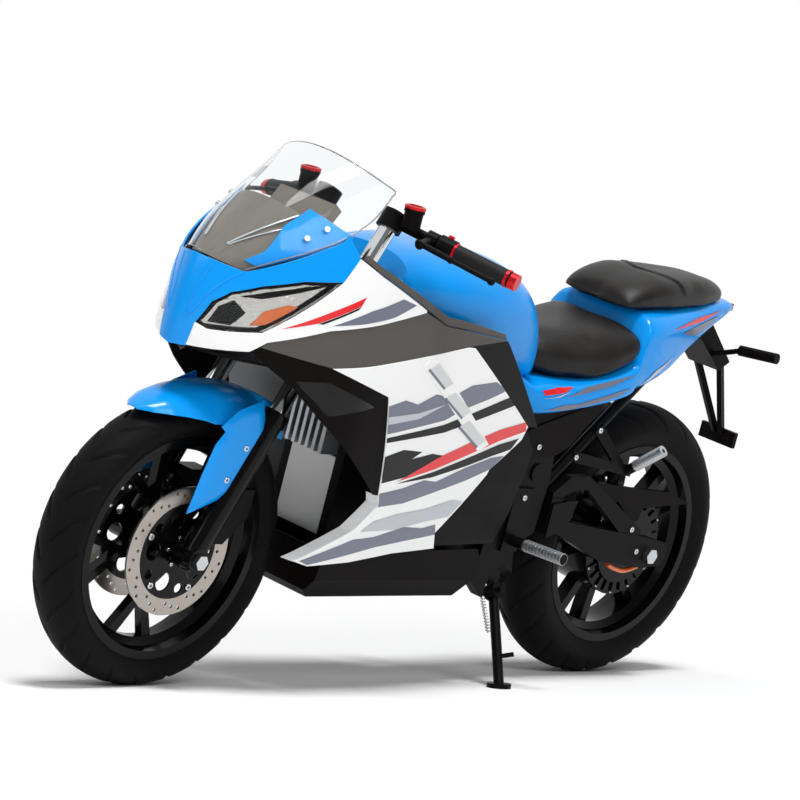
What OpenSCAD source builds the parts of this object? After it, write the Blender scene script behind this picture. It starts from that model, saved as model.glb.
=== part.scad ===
// Electric sport motorcycle, parked on its side stand.
// Upright frame: X forward, Y left, Z up, rear axle at x = 0, floor at z = 0.
// The whole machine is then leaned to the left about X by placed().

/* [Layout] */
// distance between the axles
wheelbase = 1375; // [1355:5:1395]
// lean to the left on the side stand, in degrees
lean = 13; // [11:0.5:15]
// rake of the fork from the vertical, in degrees
rake = 25; // [24:0.5:26]
// fork tubes ahead of the steering axis
fork_offset = 30; // [26:1:36]
// fork tube centre line out from the middle
fork_half = 95; // [93:1:100]

/* [Wheels] */
// outer radius of the front tyre
front_tyre_r = 293; // [288:1:296]
// width of the front tyre
front_tyre_w = 112; // [104:1:116]
// outer radius of the rear tyre
rear_tyre_r = 314; // [308:1:318]
// width of the rear tyre
rear_tyre_w = 140; // [130:1:146]
// half width of the front rim
front_rim_half = 44; // [42:1:46]
// half width of the rear rim
rear_rim_half = 58; // [54:1:60]
// radius of the bead seats
bead_r = 218; // [216:1:219]
// radius of the hub motor drum
motor_r = 118; // [110:1:125]
// half width of the hub motor drum
motor_half = 56; // [50:1:60]
// radius of the axles
axle_r = 10; // [9:0.5:11]
// radius of the front brake rotors
rotor_r = 132; // [125:1:135]
// thickness of the brake rotors
rotor_t = 4.5; // [4:0.5:5]
// running gap around axles, stem and pivot pin
running_gap = 0.05; // [0.02:0.01:0.1]
// open gap beside turning parts
side_gap = 6; // [5:0.5:8]

/* [Fork and bars] */
// radius of the fork tubes
fork_tube_r = 18.5; // [17:0.5:20]
// radius of the fork sliders
slider_r = 25; // [24:0.5:26]
// radius of the steering stem
stem_r = 15; // [13:0.5:16]
// half width over the bar ends
bar_half = 362; // [345:1:380]
// radius of the grips
grip_r = 17; // [15:0.5:19]
// radius of the bar tubes
bar_r = 11; // [10:0.5:12]

/* [Body] */
// wall of the body panels
skin_t = 4; // [3:0.5:5]
// seam between neighbouring panels
seam = 2; // [1.5:0.5:3]
// half width of the fairing at its widest
fairing_half = 242; // [235:1:248]
// height of the widest line of the fairing
fairing_wide_z = 690; // [680:2:700]
// half width of the frame plates, outer face
frame_half = 122; // [118:1:124]
// thickness of the frame plates
frame_t = 26; // [20:1:28]
// half width of the battery block
battery_half = 84; // [76:1:88]

/* [Side stand] */
// foot of the stand on the floor, forward of the rear axle
stand_foot_x = 505; // [495:1:515]
// foot of the stand on the floor, out from the tyre line
stand_foot_y = 229; // [222:1:236]
// radius of the stand leg
stand_r = 11; // [10:0.5:12]
// radius of the stand pivot pin
pin_r = 6; // [5:0.5:7]

/* [Hidden] */
$fn = 48;
tiny = 0.01;
stretch = wheelbase / 1375;
tyre_wall = 8;
tyre_wide = 0.47;
front_drop = tyre_drop(front_tyre_r, front_tyre_w);
rear_drop = tyre_drop(rear_tyre_r, rear_tyre_w);
floor_lift = rear_drop;
front_axle = [wheelbase, 0, front_tyre_r - (rear_drop - front_drop) / cos(lean)];
rear_axle = [0, 0, rear_tyre_r];
steer_dir = [-sin(rake), 0, cos(rake)];
steer_fwd = [cos(rake), 0, sin(rake)];
steer_base = front_axle - fork_offset * steer_fwd;
stem_low = 470;
stem_high = 650;
tube_top = 795;
slider_top = 330;
boss_half = slider_r + 2;
swept_r = norm([fork_offset, fork_half]) + fork_tube_r + 8 + side_gap;
bar_in = along(tube_top - 20, fork_offset, fork_half);
bar_dir = [-47, 125, -21] / norm([-47, 125, -21]);
stand_pivot = [467 * stretch, frame_half - 10, 224];
stand_leg_tip = unlean([stand_foot_x, stand_foot_y, 6]);
stand_dir = (stand_leg_tip - stand_pivot) / norm(stand_leg_tip - stand_pivot);
stand_axis_raw = cross(stand_dir, [-1, 0, 0]);
stand_axis = stand_axis_raw / norm(stand_axis_raw);
pivot = [430 * stretch, 0, 400];
pivot_r = 12;
plate_rear = -320;
peg_half = 275;
peg_z = 352;
peg_r = 12;
peg_in = [472 * stretch, frame_half + 8, 345];
peg_out = [470 * stretch, peg_half, peg_z];
box_left = leaned_y(bar_at(bar_half)) + grip_r * off_axis(bar_dir);
box_right = leaned_y([0, -peg_half, peg_z]) - peg_r * off_axis(peg_out - peg_in, -1);
centre_x = (wheelbase + front_tyre_r + plate_rear * stretch) / 2;
centre_y = (box_left + box_right) / 2;

// how far a leaned tyre reaches below its upright contact height
function tyre_drop(r, w) =
  let (wide = bead_r + tyre_wide * (r - bead_r))
  wide * cos(lean) + norm([w / 2 * sin(lean), (r - wide) * cos(lean)]) - r * cos(lean);

// sideways position of a point once leaned
function leaned_y(p) = p[1] * cos(lean) + p[2] * sin(lean);

// share of a round bar's radius that shows sideways once leaned
function off_axis(d, m = 1) = sqrt(1 - pow(leaned_y([0, m * d[1], d[2]]) / norm(d), 2));

// vector helpers
function unlean(p) = [p[0], p[1] * cos(lean) - (p[2] - floor_lift) * sin(lean),
  p[1] * sin(lean) + (p[2] - floor_lift) * cos(lean)];
function along(s, fwd, side) = steer_base + s * steer_dir + fwd * steer_fwd + [0, side, 0];
function stretched(pts) = [for (p = pts) [p[0] * stretch, p[1]]];

module placed() translate([-centre_x, -centre_y, floor_lift]) rotate([-lean, 0, 0]) children();
module leaned() translate([0, 0, floor_lift]) rotate([-lean, 0, 0]) children();
module both_sides() {
  children();
  mirror([0, 1, 0]) children();
}

// round bar from a to b
module rod(a, b, r) {
  d = b - a;
  n = norm(d);
  translate(a) rotate([0, acos(d[2] / n), atan2(d[1], d[0])]) cylinder(r = r, h = n);
}

// rectangular bar from a to b, w across and t deep
module beam(a, b, w, t) {
  d = b - a;
  n = norm(d);
  translate(a) rotate([0, acos(d[2] / n), atan2(d[1], d[0])])
    translate([-t / 2, -w / 2, 0]) cube([t, w, n]);
}

// outline in x and z, extruded from y0 to y1
module side_prism(pts, y0, y1)
  translate([0, y1, 0]) rotate([90, 0, 0]) linear_extrude(y1 - y0) polygon(stretched(pts));

// outline in y and z, extruded from x0 to x1
module front_prism(pts, x0, x1)
  translate([x0, 0, 0]) rotate([90, 0, 90]) linear_extrude(x1 - x0) polygon(pts);

// outline in x and y, extruded from z0 to z1
module plan_prism(pts, z0, z1)
  translate([0, 0, z0]) linear_extrude(z1 - z0) polygon(stretched(pts));

// local z along the steering axis, local x forward
module on_steering(s) translate(steer_base + s * steer_dir) rotate([0, -rake, 0]) children();

// local z along the axle to the left
module on_axle(centre) translate(centre) rotate([-90, 0, 0]) children();

// closed solid between two grids of points with the same rows and columns
module skin(outer, inner) {
  nr = len(outer);
  nc = len(outer[0]);
  n = nr * nc;
  pts = concat([for (r = outer) for (p = r) p], [for (r = inner) for (p = r) p]);
  function at(i, j) = i * nc + j;
  faces = concat(
    [for (i = [0 : nr - 2]) for (j = [0 : nc - 2]) [at(i, j), at(i + 1, j), at(i + 1, j + 1)]],
    [for (i = [0 : nr - 2]) for (j = [0 : nc - 2]) [at(i, j), at(i + 1, j + 1), at(i, j + 1)]],
    [for (i = [0 : nr - 2]) for (j = [0 : nc - 2]) [n + at(i, j), n + at(i + 1, j + 1), n + at(i + 1, j)]],
    [for (i = [0 : nr - 2]) for (j = [0 : nc - 2]) [n + at(i, j), n + at(i, j + 1), n + at(i + 1, j + 1)]],
    [for (i = [0 : nr - 2]) [at(i, 0), n + at(i, 0), n + at(i + 1, 0)]],
    [for (i = [0 : nr - 2]) [at(i, 0), n + at(i + 1, 0), at(i + 1, 0)]],
    [for (i = [0 : nr - 2]) [at(i, nc - 1), at(i + 1, nc - 1), n + at(i + 1, nc - 1)]],
    [for (i = [0 : nr - 2]) [at(i, nc - 1), n + at(i + 1, nc - 1), n + at(i, nc - 1)]],
    [for (j = [0 : nc - 2]) [at(0, j), at(0, j + 1), n + at(0, j + 1)]],
    [for (j = [0 : nc - 2]) [at(0, j), n + at(0, j + 1), n + at(0, j)]],
    [for (j = [0 : nc - 2]) [at(nr - 1, j), n + at(nr - 1, j + 1), at(nr - 1, j + 1)]],
    [for (j = [0 : nc - 2]) [at(nr - 1, j), n + at(nr - 1, j), n + at(nr - 1, j + 1)]]);
  polyhedron(points = pts, faces = faces);
}

// solid through rings of equal point counts
module loft(rings) {
  nr = len(rings);
  nc = len(rings[0]);
  pts = [for (r = rings) for (p = r) p];
  function at(i, j) = i * nc + j % nc;
  faces = concat(
    [for (i = [0 : nr - 2]) for (j = [0 : nc - 1]) [at(i, j), at(i, j + 1), at(i + 1, j + 1)]],
    [for (i = [0 : nr - 2]) for (j = [0 : nc - 1]) [at(i, j), at(i + 1, j + 1), at(i + 1, j)]],
    [[for (j = [nc - 1 : -1 : 0]) at(0, j)]],
    [[for (j = [0 : nc - 1]) at(nr - 1, j)]]);
  polyhedron(points = pts, faces = faces);
}

// ring at x: half width w, from z0 to z1, squareness n
function signed_power(v, e) = sign(v) * pow(abs(v), e);
function ring(x, w, z0, z1, n, count) = [for (k = [0 : count - 1])
  let (a = 360 * k / count)
  [x * stretch, w * signed_power(cos(a), 2 / n),
   (z0 + z1) / 2 + (z1 - z0) / 2 * signed_power(sin(a), 2 / n)]];
function rings(rows, count) = [for (r = rows) ring(r[0], r[1], r[2], r[3], r[4], count)];

// side surface of the fairing: half width at height z and station x, inset by d
nose_len = 330;
function fair_w(z, d) = fairing_half - d - (z > fairing_wide_z
  ? 42 * pow((z - fairing_wide_z) / 260, 2)
  : 64 * pow((fairing_wide_z - z) / 390, 2));
function nose_x(z, d) = 1480 - d - 0.00075 * pow(max(z, 690) - 730, 2);
function fair_y(x, z, d) =
  let (s = min(1, max(0, (nose_x(z, d) - x) / nose_len)))
  let (t = max(0, 1100 - x) / 500)
  fair_w(z, d) * pow(1 - pow(1 - s, 1.6), 1 / 1.6) * (1 - 0.17 * pow(t, 1.5));
nose_stations = [0, 0.006, 0.025, 0.06, 0.12, 0.2, 0.3, 0.42, 0.56, 0.72, 0.88];
rear_stations = [1130, 1060, 980, 880, 780, 680, 600, 540];
fair_levels = [285, 322, 358, 412, 488, 552, 600, 645, 700, 755, 800, 858, 915, 985];
function fair_grid(d) = [for (z = fair_levels) concat(
  [for (s = nose_stations) let (x = nose_x(z, d) - nose_len * s) [x * stretch, fair_y(x, z, d), z]],
  [for (x = rear_stations) [x * stretch, fair_y(x, z, d), z]])];

// whole inside of the fairing at inset d
function flipped(grid) = [for (r = grid) [for (p = r) [p[0], -p[1], p[2]]]];
module fair_core(d) skin(fair_grid(d), flipped(fair_grid(d)));

// piece of the fairing skin from inset d0 to d1 inside an outline, left side
module fair_piece(pts, d0, d1, shrink)
  intersection() {
    skin(fair_grid(d0), fair_grid(d1));
    translate([0, 400, 0]) rotate([90, 0, 0]) linear_extrude(401)
      offset(delta = -shrink) polygon(stretched(pts));
  }

// outlines on the fairing, in x and z
headlight_line = [[1465, 751], [1451, 794], [1430, 821], [1386, 846], [1318, 871], [1247, 882],
  [1321, 815], [1380, 761], [1425, 750], [1453, 744]];
nose_line = [[1500, 690], [1469, 700], [1466, 748], [1452, 796], [1430, 823], [1386, 848], [1318, 873],
  [1247, 884], [1211, 933], [1234, 972], [1244, 958], [1330, 912], [1414, 866], [1445, 872], [1500, 885]];
upper_line = [[1469, 702], [1441, 708], [1393, 720], [1369, 745], [1264, 790], [1026, 845], [1027, 850],
  [1098, 880], [1158, 905], [1211, 933], [1247, 883], [1321, 815], [1380, 761], [1425, 749], [1453, 743],
  [1466, 750]];
wedge_line = [[1390, 720], [1359, 697], [1317, 672], [1244, 613], [1174, 565], [1041, 466], [1023, 464],
  [1092, 674], [1246, 719], [875, 781], [862, 783], [747, 796], [884, 813], [957, 820], [1026, 845],
  [1264, 790], [1369, 745]];
signal_line = [[1310, 682], [1248, 692], [1125, 653], [1232, 625]];
side_line = [[1246, 719], [875, 781], [854, 780], [601, 615], [610, 586], [690, 520], [692, 510],
  [786, 377], [764, 340], [896, 331], [1017, 312], [1133, 303], [1178, 314], [1054, 386], [1011, 445],
  [1023, 464], [1092, 674]];
knee_line = [[854, 780], [862, 783], [747, 796], [564, 612], [601, 615]];

cover_line = [[596, 606], [612, 584], [692, 518], [800, 385], [800, 345], [560, 345], [548, 420], [548, 560]];

// cross section of a tyre: crown and side walls outside, carcass inside
function tyre_outside(r, w, rim) =
  let (wide = bead_r + tyre_wide * (r - bead_r))
  let (low = bead_r + 11)
  concat(
    [[bead_r, rim - 7], [low, rim - 5]],
    [for (k = [1 : 4]) [low + (wide - low) * k / 5, rim - 5 + (w / 2 - rim + 5) * sin(90 * k / 5)]],
    [for (k = [0 : 9]) [wide + (r - wide) * sin(9 * k), w / 2 * cos(9 * k)]]);
function tyre_inside(r, w, rim) =
  let (wide = bead_r + tyre_wide * (r - bead_r))
  concat(
    [[bead_r, rim - 25], [bead_r + 4, rim - 22], [bead_r + 15, rim - 14]],
    [for (k = [0 : 9]) [wide + (r - tyre_wall - wide) * sin(9 * k), (w / 2 - tyre_wall) * cos(9 * k)]]);
function backward(pts) = [for (k = [len(pts) - 1 : -1 : 0]) [pts[k][0], -pts[k][1]]];
function reversed(pts) = [for (k = [len(pts) - 1 : -1 : 0]) pts[k]];
module tyre(r, w, rim)
  rotate_extrude($fn = 96) polygon(concat(tyre_outside(r, w, rim), backward(tyre_outside(r, w, rim)),
    reversed(backward(tyre_inside(r, w, rim))), reversed(tyre_inside(r, w, rim))));
module rim_barrel(half)
  rotate_extrude($fn = 96) polygon([[bead_r + 11, half], [bead_r + 11, half - 5], [bead_r, half - 7],
    [bead_r, half - 25], [bead_r - 16, half - 33], [bead_r - 16, 33 - half], [bead_r, 25 - half],
    [bead_r, 7 - half], [bead_r + 11, 5 - half], [bead_r + 11, -half], [bead_r - 6, -half],
    [bead_r - 9, 22 - half], [bead_r - 24, 33 - half], [bead_r - 24, half - 33], [bead_r - 9, half - 22],
    [bead_r - 6, half]]);

// wheels
module front_tyre() color("#1b1b1c") placed() on_axle(front_axle) tyre(front_tyre_r, front_tyre_w, front_rim_half);
module rear_tyre() color("#1b1b1c") placed() on_axle(rear_axle) tyre(rear_tyre_r, rear_tyre_w, rear_rim_half);

spoke_count = 5;
hub_half = 50;
module front_wheel() color("#111214") placed() on_axle(front_axle) difference() {
  union() {
    rim_barrel(front_rim_half);
    cylinder(r = 34, h = 2 * hub_half, center = true);
    for (k = [0 : spoke_count - 1]) rotate(72 * k + 10) translate([0, 0, -10]) linear_extrude(20) {
      polygon([[26, -19], [112, -13], [112, 13], [26, 19]]);
      polygon([[98, -10], [104, 12], [bead_r - 26, 62], [bead_r - 20, 40]]);
      polygon([[98, 10], [104, -12], [bead_r - 26, -62], [bead_r - 20, -40]]);
    }
  }
  cylinder(r = axle_r + running_gap, h = 3 * hub_half, center = true);
}

rotor_in = 98;
rotor_y = hub_half + 8;
module front_rotors() color("#b9b4ab") placed() on_axle(front_axle) for (m = [-1, 1])
  translate([0, 0, m * rotor_y - rotor_t / 2]) difference() {
    cylinder(r = rotor_r, h = rotor_t, $fn = 96);
    translate([0, 0, -1]) cylinder(r = rotor_in, h = rotor_t + 2, $fn = 96);
    for (k = [0 : 11]) for (j = [0 : 2]) rotate(30 * k + 9 * j) translate([rotor_in + 9 + 8 * j, 0, -1])
      cylinder(r = 3.5, h = rotor_t + 2);
  }
module front_carriers() color("#17181a") placed() on_axle(front_axle) for (m = [-1, 1])
  translate([0, 0, m * rotor_y]) difference() {
    union() {
      translate([0, 0, -rotor_t / 2]) cylinder(r = rotor_in, h = rotor_t, $fn = 96);
      translate([0, 0, m > 0 ? -8 : 0]) cylinder(r = 34, h = 8);
    }
    translate([0, 0, -20]) cylinder(r = 24, h = 40);
    for (k = [0 : 4]) rotate(72 * k) {
      translate([66, 0, -20]) cylinder(r = 19, h = 40);
      rotate(36) translate([80, 0, -20]) cylinder(r = 10, h = 40);
    }
  }

module rear_wheel() color("#111214") placed() on_axle(rear_axle) difference() {
  union() {
    rim_barrel(rear_rim_half);
    translate([0, 0, -motor_half]) cylinder(r = motor_r, h = 2 * motor_half, $fn = 96);
    translate([0, 0, motor_half]) cylinder(r = motor_r - 30, h = 8, $fn = 96);
    translate([0, 0, -motor_half - 14]) cylinder(r = 52, h = 16);
    for (k = [0 : 4]) for (m = [-1, 1]) rotate(72 * k + m * 13) translate([motor_r - 6, -11, -17])
      cube([bead_r - 20 - motor_r + 6, 22, 34]);
    for (k = [0 : 23]) rotate(15 * k) translate([50, -2, motor_half]) cube([motor_r - 56, 4, 5]);
  }
  cylinder(r = axle_r + running_gap, h = 6 * motor_half, center = true);
}
rear_rotor_r = 110;
rear_rotor_y = -motor_half - 14;
module rear_rotor() color("#b9b4ab") placed() on_axle(rear_axle) translate([0, 0, rear_rotor_y - rotor_t])
  difference() {
    cylinder(r = rear_rotor_r, h = rotor_t, $fn = 96);
    translate([0, 0, -1]) cylinder(r = 24, h = rotor_t + 2);
    for (k = [0 : 11]) for (j = [0 : 1]) rotate(30 * k + 12 * j) translate([84 + 13 * j, 0, -1])
      cylinder(r = 3.5, h = rotor_t + 2);
    for (k = [0 : 4]) rotate(72 * k) translate([56, 0, -1]) cylinder(r = 13, h = rotor_t + 2);
  }

// steering
head_r = 28;
clamp_t = 32;
module clamp_plate(s, t, width) on_steering(s) linear_extrude(t) difference() {
  union() {
    polygon([[-26, -30], [fork_offset + 22, -fork_half], [fork_offset + 22, fork_half], [-26, 30]]);
    circle(r = 30);
    for (m = [-1, 1]) translate([fork_offset, m * fork_half]) circle(r = width);
  }
  for (m = [-1, 1]) translate([fork_offset, m * fork_half]) circle(r = fork_tube_r);
}
module triple_clamp() color("#1a1b1d") placed() {
  clamp_plate(stem_low - clamp_t - 1, clamp_t, fork_tube_r + 9);
  on_steering(stem_low - 1 - tiny) cylinder(r = stem_r, h = stem_high - stem_low + 2 + tiny);
}
module top_clamp() color("#1a1b1d") placed() clamp_plate(stem_high + 1, 24, fork_tube_r + 8);
module fork_tubes() color("#c9cbce") placed() for (m = [-1, 1])
  rod(along(slider_top, fork_offset, m * fork_half), along(tube_top, fork_offset, m * fork_half), fork_tube_r);
module fork_sliders() color("#141516") placed() for (m = [-1, 1]) difference() {
  union() {
    rod(along(-12, fork_offset, m * fork_half), along(slider_top, fork_offset, m * fork_half), slider_r);
    rod(along(slider_top - 26, fork_offset, m * fork_half), along(slider_top - 4, fork_offset, m * fork_half), slider_r + 3);
    translate(front_axle + [0, m * fork_half, 0]) rotate([90, 0, 0]) cylinder(r = 26, h = 2 * boss_half, center = true);
  }
  translate(front_axle + [0, m * fork_half, 0]) rotate([90, 0, 0]) cylinder(r = axle_r, h = 80, center = true);
}
module front_axle_bar() color("#b4b7ba") placed() on_axle(front_axle) {
  cylinder(r = axle_r, h = 2 * (fork_half + boss_half + 7), center = true);
  for (m = [-1, 1]) {
    translate([0, 0, m * (fork_half + boss_half + 5)]) cylinder(r = 16, h = 10, center = true, $fn = 6);
    translate([0, 0, m * (hub_half + 1 + (fork_half - boss_half - hub_half - 1) / 2)])
      cylinder(r = 15, h = fork_half - boss_half - hub_half - 1, center = true);
  }
}

// bars: inner end at the fork top, outer end at the bar end
function bar_at(y) = bar_in + bar_dir * (y - fork_half) / bar_dir[1];
module handlebars() color("#161718") placed() both_sides() difference() {
  union() {
    rod(along(tube_top - 40, fork_offset, fork_half), along(tube_top - 2, fork_offset, fork_half), fork_tube_r + 8);
    rod(bar_in, bar_at(bar_half - 14), bar_r);
    rod(bar_at(196), bar_at(228), grip_r + 4);
  }
  rod(along(tube_top - 55, fork_offset, fork_half), along(tube_top + 20, fork_offset, fork_half), fork_tube_r);
}
module grips() color("#202123") placed() both_sides() difference() {
  rod(bar_at(230), bar_at(bar_half - 16), grip_r);
  rod(bar_at(225), bar_at(bar_half), bar_r);
}
module bar_ends() color("#c4161c") placed() both_sides() rod(bar_at(bar_half - 14), bar_at(bar_half), grip_r);
perch_y = 180;
lever_out = bar_dir;
lever_fwd = [0.92, 0.34, -0.12];
module levers() color("#0f1011") placed() both_sides() difference() {
  union() {
    rod(bar_at(perch_y - 10), bar_at(perch_y + 12), bar_r + 7);
    rod(bar_at(perch_y), bar_at(perch_y) + 62 * lever_fwd, 9);
    rod(bar_at(perch_y) + 50 * lever_fwd - 12 * bar_dir, bar_at(perch_y) + 56 * lever_fwd + 70 * bar_dir, 6);
    rod(bar_at(perch_y) + 56 * lever_fwd + 70 * bar_dir, bar_at(perch_y) + 62 * lever_fwd + 165 * bar_dir, 5);
    translate(bar_at(perch_y) + 56 * lever_fwd + 70 * bar_dir) sphere(r = 7.5);
    translate(bar_at(perch_y) + 62 * lever_fwd + 165 * bar_dir) sphere(r = 8);
  }
  rod(bar_at(perch_y - 20), bar_at(perch_y + 22), bar_r);
}
module reservoirs() color("#1b1c1e") placed() both_sides() difference() {
  union() {
    translate(bar_at(150) + [26, 0, 8]) cylinder(r = 19, h = 34);
    translate(bar_at(150) + [26, 0, 41]) cylinder(r = 21, h = 10);
    rod(bar_at(150), bar_at(150) + [26, 0, 20], 6);
  }
  rod(bar_in, bar_at(190), bar_r);
}

// front fender: pointed crown over the tyre, with a blade down each fork leg
// columns: angle about the axle, half width, crown above the tyre, drop at the edge
fender_rows = [[60, 14, 24, 4], [64, 40, 24.5, 14], [70, 62, 26, 26], [78, 76, 28, 40], [88, 86, 33, 58],
  [98, 94, 40, 64], [108, 100, 50, 62], [118, 102, 60, 62], [124, 100, 66, 62]];
function fender_grid(d) = [for (f = fender_rows) [for (j = [-8 : 8])
  let (v = j / 8)
  let (r = front_tyre_r + f[2] - d - f[3] * pow(abs(v), 3))
  [wheelbase + r * cos(f[0]), (f[1] - d) * v, front_axle[2] + r * sin(f[0])]]];
fender_blade = [[-91, 324], [-118, 254], [-86, 164], [-90, 144], [43, 90], [27, 170], [10, 231], [-8, 257], [6, 267], [-30, 300]];
blade_y = fork_half + 3;
module front_fender() color("#2457d6") placed() resize([0, 0, 0]) union() {
  difference() {
    skin(fender_grid(0), fender_grid(3));
    for (m = [-1, 1]) rod(along(200, fork_offset, m * fork_half), along(500, fork_offset, m * fork_half), slider_r + 3.5);
  }
  difference() {
    both_sides() translate(front_axle + [0, blade_y + 5, 0]) rotate([90, 0, 0]) linear_extrude(5) polygon(fender_blade);
    for (m = [-1, 1]) rod(along(-30, fork_offset, m * fork_half), along(slider_top - 27, fork_offset, m * fork_half), slider_r + 0.3);
    for (m = [-1, 1]) rod(along(slider_top - 28, fork_offset, m * fork_half), along(500, fork_offset, m * fork_half), slider_r + 3.5);
  }
}
module front_calipers() color("#121314") placed() both_sides() difference() {
  side_prism([[1236, 430], [1290, 430], [1318, 380], [1318, 318], [1290, 318], [1240, 372]], 38, 90);
  translate(front_axle + [0, rotor_y, 0]) rotate([90, 0, 0])
    cylinder(r = rotor_r + side_gap, h = rotor_t + 2 * side_gap, center = true, $fn = 96);
  rod(along(-30, fork_offset, fork_half), along(slider_top, fork_offset, fork_half), slider_r);
}

// chassis
module head_tube() color("#1c1d1f") placed() difference() {
  on_steering(stem_low) cylinder(r = head_r, h = stem_high - stem_low);
  on_steering(stem_low - 5) cylinder(r = stem_r + running_gap, h = stem_high - stem_low + 10);
}
module frame_spar() intersection() {
  side_prism([[1150, 725], [1085, 850], [1030, 800], [640, 690], [470, 620], [400, 560], [400, 480],
    [520, 500], [640, 590], [1000, 690]], 0, frame_half);
  plan_prism([[1170, 12], [1170, 30], [1090, 34], [1000, frame_half], [380, frame_half],
    [380, frame_half - frame_t], [985, frame_half - frame_t], [1075, 12]], 400, 900);
}
module frame_side() difference() {
  union() {
    frame_spar();
    side_prism([[400, 560], [500, 575], [540, 420], [560, 250], [520, 216], [440, 206], [428, 240], [452, 330],
      [398, 360], [392, 480]], frame_half - frame_t, frame_half);
    rod([440 * stretch, frame_half - 5, 494], [440 * stretch, frame_half + 5, 494], 20);
  }
  on_steering(stem_low - 60) cylinder(r = head_r, h = 400);
  rod(pivot, pivot + [0, 200, 0], pivot_r);
}
stand_tab = 12;
module stand_frame(h) translate(stand_pivot) rotate([0, acos(stand_axis[2]), atan2(stand_axis[1], stand_axis[0])])
  children();
module frame_left() color("#1c1d1f") placed() {
  difference() {
    frame_side();
    stand_frame() translate([0, 0, -60]) cylinder(r = 44, h = 120);
  }
  stand_frame() {
    translate([0, 0, -stand_tab / 2]) cylinder(r = 16, h = stand_tab);
    translate([0, 0, -26]) cylinder(r = pin_r, h = 52);
    translate([-32, -12, 1 - stand_tab / 2]) cube([32, 24, stand_tab - 2]);
  }
  translate(stand_pivot + [-15, -21, 14]) cube([30, 15, 78]);
}
module frame_right() color("#1c1d1f") placed() mirror([0, 1, 0]) frame_side();
module battery_box() color("#c3c6c9") placed() translate([590 * stretch, -battery_half, 325])
  cube([410 * stretch, 2 * battery_half, 270]);
module heat_sink() color("#c3c6c9") placed() difference() {
  translate([1000 * stretch, -62, 500]) cube([48, 124, 95]);
  for (k = [0 : 5]) translate([1012 * stretch, -54 + 19 * k, 490]) cube([60, 11, 120]);
}
module belly_pan() color("#161719") placed() difference() {
  intersection() {
    side_prism([[1058, 232], [1058, 322], [600, 332], [575, 300], [585, 212], [1030, 212]], -200, 200);
    front_prism([[-152, 340], [152, 340], [140, 260], [96, 205], [-96, 205], [-140, 260]], 400, 1300);
  }
  intersection() {
    side_prism([[1054, 236], [1054, 400], [570, 400], [590, 217], [1030, 217]], -200, 200);
    front_prism([[-148, 360], [148, 360], [136, 262], [94, 209], [-94, 209], [-136, 262]], 400, 1300);
  }
  both_sides() cradle_rail(0.5);
}

// body panels
module nose_cowl() color("#2457d6") placed() resize([0, 0, 0]) difference() {
  both_sides() fair_piece(nose_line, 0, skin_t, 0);
  skin(screen_grid(-0.4, 0, 5), screen_grid(3.4, 0, 5));
}
module upper_panels() color("#eceeee") placed() resize([0, 0, 0]) both_sides() fair_piece(upper_line, 0, skin_t, seam);
module wedge_panels() color("#3a3d42") placed() resize([0, 0, 0]) both_sides() difference() {
  fair_piece(wedge_line, 3, 3 + skin_t, seam);
  fair_piece(signal_line, -5, 20, 0);
}
module side_fairings() color("#eceeee") placed() resize([0, 0, 0]) both_sides()
  fair_piece(side_line, 0, skin_t, seam);
module knee_pads() color("#25272a") placed() resize([0, 0, 0]) both_sides() fair_piece(knee_line, 1, 5, seam);
module side_covers() color("#17181a") placed() resize([0, 0, 0]) both_sides() {
  fair_piece(cover_line, 6, 6 + skin_t, 0);
  difference() {
    side_prism([[512, 583], [471, 599], [370, 632], [277, 664], [290, 632], [317, 606], [358, 556], [396, 535], [452, 526],
      [508, 532]], frame_half, frame_half + skin_t);
    loft(rings(tail_rows, 28));
  }
}
module front_signals() color("#d9d3c4") placed() resize([0, 0, 0]) both_sides() fair_piece(signal_line, -2, 12, 0);
module headlight_lenses() color("#dfe6ea") placed() resize([0, 0, 0]) both_sides() fair_piece(headlight_line, 2, 5, 1);
module headlight_bowls() color("#5b6066") placed() resize([0, 0, 0]) both_sides() difference() {
  fair_piece(headlight_line, 5, 40, 1);
  fair_piece(headlight_line, 0, 36, 6);
}
inner_rows = [[1205, 180, 925, 1175, 128, 905], [1158, 204, 898, 1140, 135, 890], [1098, 214, 872, 1090, 142, 872],
  [1026, 219, 842, 1020, 140, 850], [957, 219, 815, 950, 158, 838], [884, 214, 806, 880, 165, 815], [760, 206, 790, 745, 166, 780]];
function inner_grid(d) = [for (r = inner_rows) [for (j = [0 : 3]) let (v = j / 3)
  [(r[0] + (r[3] - r[0]) * v) * stretch, r[1] + (r[4] - r[1]) * v, r[2] + (r[5] - r[2]) * v - d]]];
module inner_panels() color("#1d1e20") placed() resize([0, 0, 0]) both_sides() difference() {
  intersection() {
    skin(inner_grid(0), inner_grid(3));
    fair_core(3 + skin_t);
  }
  loft(rings(tank_rows, 28));
}
module under_plate() plan_prism([[1462, -12], [1462, 12], [1440, 62], [1390, 115], [1340, 145],
  [1268, 165], [1268, -165], [1340, -145], [1390, -115], [1440, -62]], 695, 701);
module under_nose() color("#17181a") placed() under_plate();

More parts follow.
